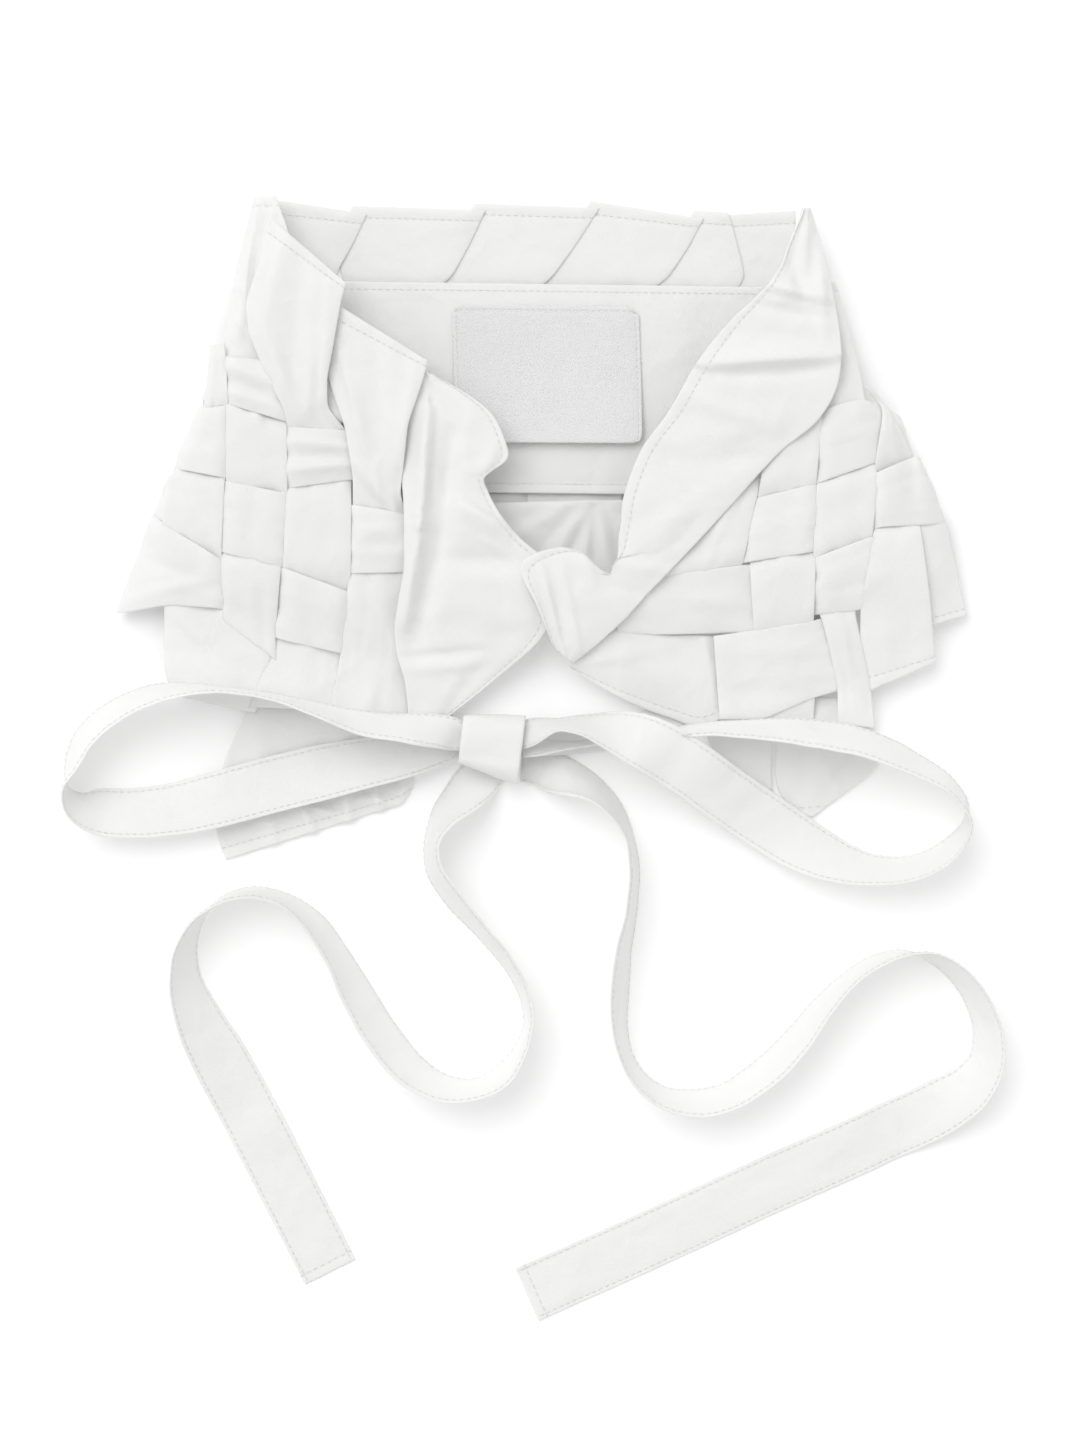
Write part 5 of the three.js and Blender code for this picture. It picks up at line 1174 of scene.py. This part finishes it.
def knot_sleeve():
    table_rows = np.array(knot_sections, dtype=float)
    xs = np.linspace(table_rows[0, 0], table_rows[-1, 0], KNOT["rings"])
    lows, highs = (np.interp(xs, table_rows[:, 0], table_rows[:, k]) for k in (1, 2))
    turns = np.linspace(0, 2 * np.pi, KNOT["sides"], endpoint=False)
    middle_z, half_z = (KNOT["bottom"] + KNOT["top"]) / 2, (KNOT["top"] - KNOT["bottom"]) / 2
    rings = []
    for wall in (0.0, KNOT["wall"]):
        for k, (x, low, high) in enumerate(zip(xs, lows, highs)):
            along = (x - xs[0]) / (xs[-1] - xs[0])
            place = (1 + np.cos(turns)) / 2
            drift = 0.25 * (along - 0.5)
            fold = sum(
                rise * np.exp(-((place - spot - drift) / wide) ** 2) for spot, wide, rise in knot_folds
            )
            if k in (0, len(xs) - 1):
                inset = wall * 0.5 if wall else KNOT["wall"] * 0.25
            else:
                inset = wall
            swell = np.where(np.sin(turns) > 0, fold * 0.45, 0)
            y = (low + high) / 2 + rounded(np.cos(turns)) * ((high - low) / 2 - inset)
            z = middle_z + rounded(np.sin(turns)) * (half_z - inset) + swell * (1 if wall == 0 else 0.8)
            rings.append(np.stack([x + (y - (low + high) / 2) * KNOT["slant"], y, z], axis=1))
    outer, inner = rings[: len(xs)], rings[len(xs):]
    loop = outer + inner[::-1]
    verts = np.concatenate(loop)
    count, size = len(loop), KNOT["sides"]
    faces = []
    for a in range(count):
        b = (a + 1) % count
        for i in range(size):
            j = (i + 1) % size
            faces.append((a * size + i, a * size + j, b * size + j, b * size + i))
    mesh = bpy.data.meshes.new("bow_knot_cloth")
    mesh.from_pydata((verts * MM).tolist(), [], faces)
    layer = mesh.uv_layers.new(name="UVMap")
    for polygon in mesh.polygons:
        for loop_index in polygon.loop_indices:
            co = mesh.vertices[mesh.loops[loop_index].vertex_index].co
            layer.data[loop_index].uv = (co.y, co.x)
    mesh.polygons.foreach_set("use_smooth", np.ones(len(mesh.polygons), dtype=bool))
    face_outwards(mesh, faces)
    return mesh


knot_mesh = knot_sleeve()
knot_mesh.materials.append(COTTON)
knot = bpy.data.objects.new("bow_knot_cloth", knot_mesh)
bpy.context.collection.objects.link(knot)
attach(knot, "root")
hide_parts("bow_knot")
print("knot faces:", len(knot_mesh.polygons))

# %% [markdown]
# ## Stitches
#
# A lockstitch is a row of equal short threads, so Geometry Nodes can lay it: a path is cut into equal
# steps, one small bead of thread stands at each step, and each is turned along the path. The tree
# makes the beads real meshes at its end, because an export would lose instances.

# %% The stitch tree
BEAD = {"Segments": 6, "Rings": 4, "Radius": 0.5}


def stitch_tree():
    """Lays short threads along every edge chain of a mesh."""
    tree = bpy.data.node_groups.new("lay stitches", "GeometryNodeTree")
    tree.interface.new_socket("Path", in_out="INPUT", socket_type="NodeSocketGeometry")
    ids = {}
    for name, kind, value in (
        ("Pitch", "NodeSocketFloat", 0.003),
        ("Stitch length", "NodeSocketFloat", 0.0022),
        ("Thread thickness", "NodeSocketFloat", 0.0004),
        ("Wobble", "NodeSocketFloat", 0.08),
        ("Seed", "NodeSocketInt", 7),
        ("Thread", "NodeSocketMaterial", None),
    ):
        socket = tree.interface.new_socket(name, in_out="INPUT", socket_type=kind)
        if value is not None:
            socket.default_value = value
        ids[name] = socket.identifier
    tree.interface.new_socket("Stitches", in_out="OUTPUT", socket_type="NodeSocketGeometry")
    nodes, links = tree.nodes, tree.links
    inside, outside = nodes.new("NodeGroupInput"), nodes.new("NodeGroupOutput")
    to_curve = nodes.new("GeometryNodeMeshToCurve")
    steps = nodes.new("GeometryNodeResampleCurve")
    steps.mode = "LENGTH"
    bead = nodes.new("GeometryNodeMeshUVSphere")
    set_inputs(bead, BEAD)
    size = nodes.new("ShaderNodeCombineXYZ")
    shape = nodes.new("GeometryNodeTransform")
    tangent = nodes.new("GeometryNodeInputTangent")
    turn = nodes.new("FunctionNodeAlignRotationToVector")
    turn.axis = "X"
    jitter = nodes.new("FunctionNodeRandomValue")
    jitter.data_type = "FLOAT_VECTOR"
    low, high = nodes.new("ShaderNodeCombineXYZ"), nodes.new("ShaderNodeCombineXYZ")
    minus = nodes.new("ShaderNodeMath")
    minus.operation = "MULTIPLY"
    minus.inputs[1].default_value = -1.0
    lean = nodes.new("ShaderNodeVectorMath")
    lean.operation = "ADD"
    place = nodes.new("GeometryNodeInstanceOnPoints")
    real = nodes.new("GeometryNodeRealizeInstances")
    finish = nodes.new("GeometryNodeSetMaterial")
    for source, output, target, socket in (
        (inside, "Path", to_curve, "Mesh"),
        (to_curve, "Curve", steps, "Curve"),
        (inside, "Pitch", steps, "Length"),
        (inside, "Stitch length", size, "X"),
        (inside, "Thread thickness", size, "Y"),
        (inside, "Thread thickness", size, "Z"),
        (bead, "Mesh", shape, "Geometry"),
        (size, 0, shape, "Scale"),
        (inside, "Wobble", minus, 0),
        *[(minus, 0, low, axis) for axis in "XYZ"],
        *[(inside, "Wobble", high, axis) for axis in "XYZ"],
        (low, 0, jitter, "Min"),
        (high, 0, jitter, "Max"),
        (inside, "Seed", jitter, "Seed"),
        (tangent, "Tangent", lean, 0),
        (jitter, "Value", lean, 1),
        (lean, 0, turn, "Vector"),
        (steps, "Curve", place, "Points"),
        (shape, "Geometry", place, "Instance"),
        (turn, "Rotation", place, "Rotation"),
        (place, "Instances", real, "Geometry"),
        (real, "Geometry", finish, "Geometry"),
        (inside, "Thread", finish, "Material"),
        (finish, "Geometry", outside, "Stitches"),
    ):
        links.new(source.outputs[output], target.inputs[socket])
    return tree, ids


STITCHES, STITCH_INPUTS = stitch_tree()
print("stitch inputs:", list(STITCH_INPUTS))

# %% [markdown]
# The paths are read from the walls that were just made: each hem's row or column of grid points, a
# hair above the cloth, and never lower than the table. The tie is stitched on both faces, because it
# turns over.

# %% Lay the stitches
STITCH_LIFT = 0.05  # mm over the cloth
STITCH_LOWEST = 0.28  # mm over the table


def seam_paths(name, both_faces):
    """Lines of places along the stitched hems of a wall."""
    wall = walls[name]
    paths = []
    for edge, row, column in wall["seams"]:
        for face, sign in (("top", 1), ("under", -1)) if both_faces else (("top", 1),):
            surface = wall[face] + wall["normal"] * STITCH_LIFT * sign
            line = surface[row, 1:-1] if edge in ("start", "end") else surface[2:-2, column]
            line[:, 2] = np.maximum(line[:, 2], STITCH_LOWEST)
            paths.append(line * MM)
    return paths


def sew(name, pieces, both_faces=False, pitch=0.003, length=0.0022, thickness=0.00042):
    """Make one piece of all the stitches of some walls."""
    paths = [path for piece in pieces for path in seam_paths(piece, both_faces)]
    verts, edges = [], []
    for path in paths:
        edges += [(len(verts) + k, len(verts) + k + 1) for k in range(len(path) - 1)]
        verts += path.tolist()
    chain = bpy.data.meshes.new(name + "_path")
    chain.from_pydata(verts, edges, [])
    carrier = bpy.data.objects.new(name + "_path", chain)
    bpy.context.collection.objects.link(carrier)
    modifier = carrier.modifiers.new("stitches", "NODES")
    modifier.node_group = STITCHES
    sizes = {"Pitch": pitch, "Stitch length": length, "Thread thickness": thickness, "Thread": THREAD}
    for key, value in sizes.items():
        modifier[STITCH_INPUTS[key]] = value
    graph = bpy.context.evaluated_depsgraph_get()
    mesh = bpy.data.meshes.new_from_object(carrier.evaluated_get(graph))
    mesh.name = name
    bpy.data.objects.remove(carrier)
    if not mesh.uv_layers:
        mesh.uv_layers.new(name="UVMap")
    piece = bpy.data.objects.new(name, mesh)
    bpy.context.collection.objects.link(piece)
    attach(piece, "root")
    print(name, "stitches:", len(mesh.polygons) // (BEAD["Segments"] * BEAD["Rings"]))
    return piece


stitched = [name for name, wall in walls.items() if wall["seams"]]
tie = ["left_loop", "right_loop", "left_tail", "right_tail"]
hemmed = [name for name in stitched if name not in tie and name != "woven_label"]
sew("label_stitches", ["woven_label"], pitch=0.0025, length=0.0018, thickness=0.0003)
sew("hem_stitches", hemmed)
sew("tie_stitches", tie, both_faces=True)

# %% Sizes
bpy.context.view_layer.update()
triangles = sum(
    sum(len(p.vertices) - 2 for p in o.data.polygons)
    for o in bpy.context.scene.objects if o.type == "MESH" and not o.hide_render
)
print("triangles:", triangles)
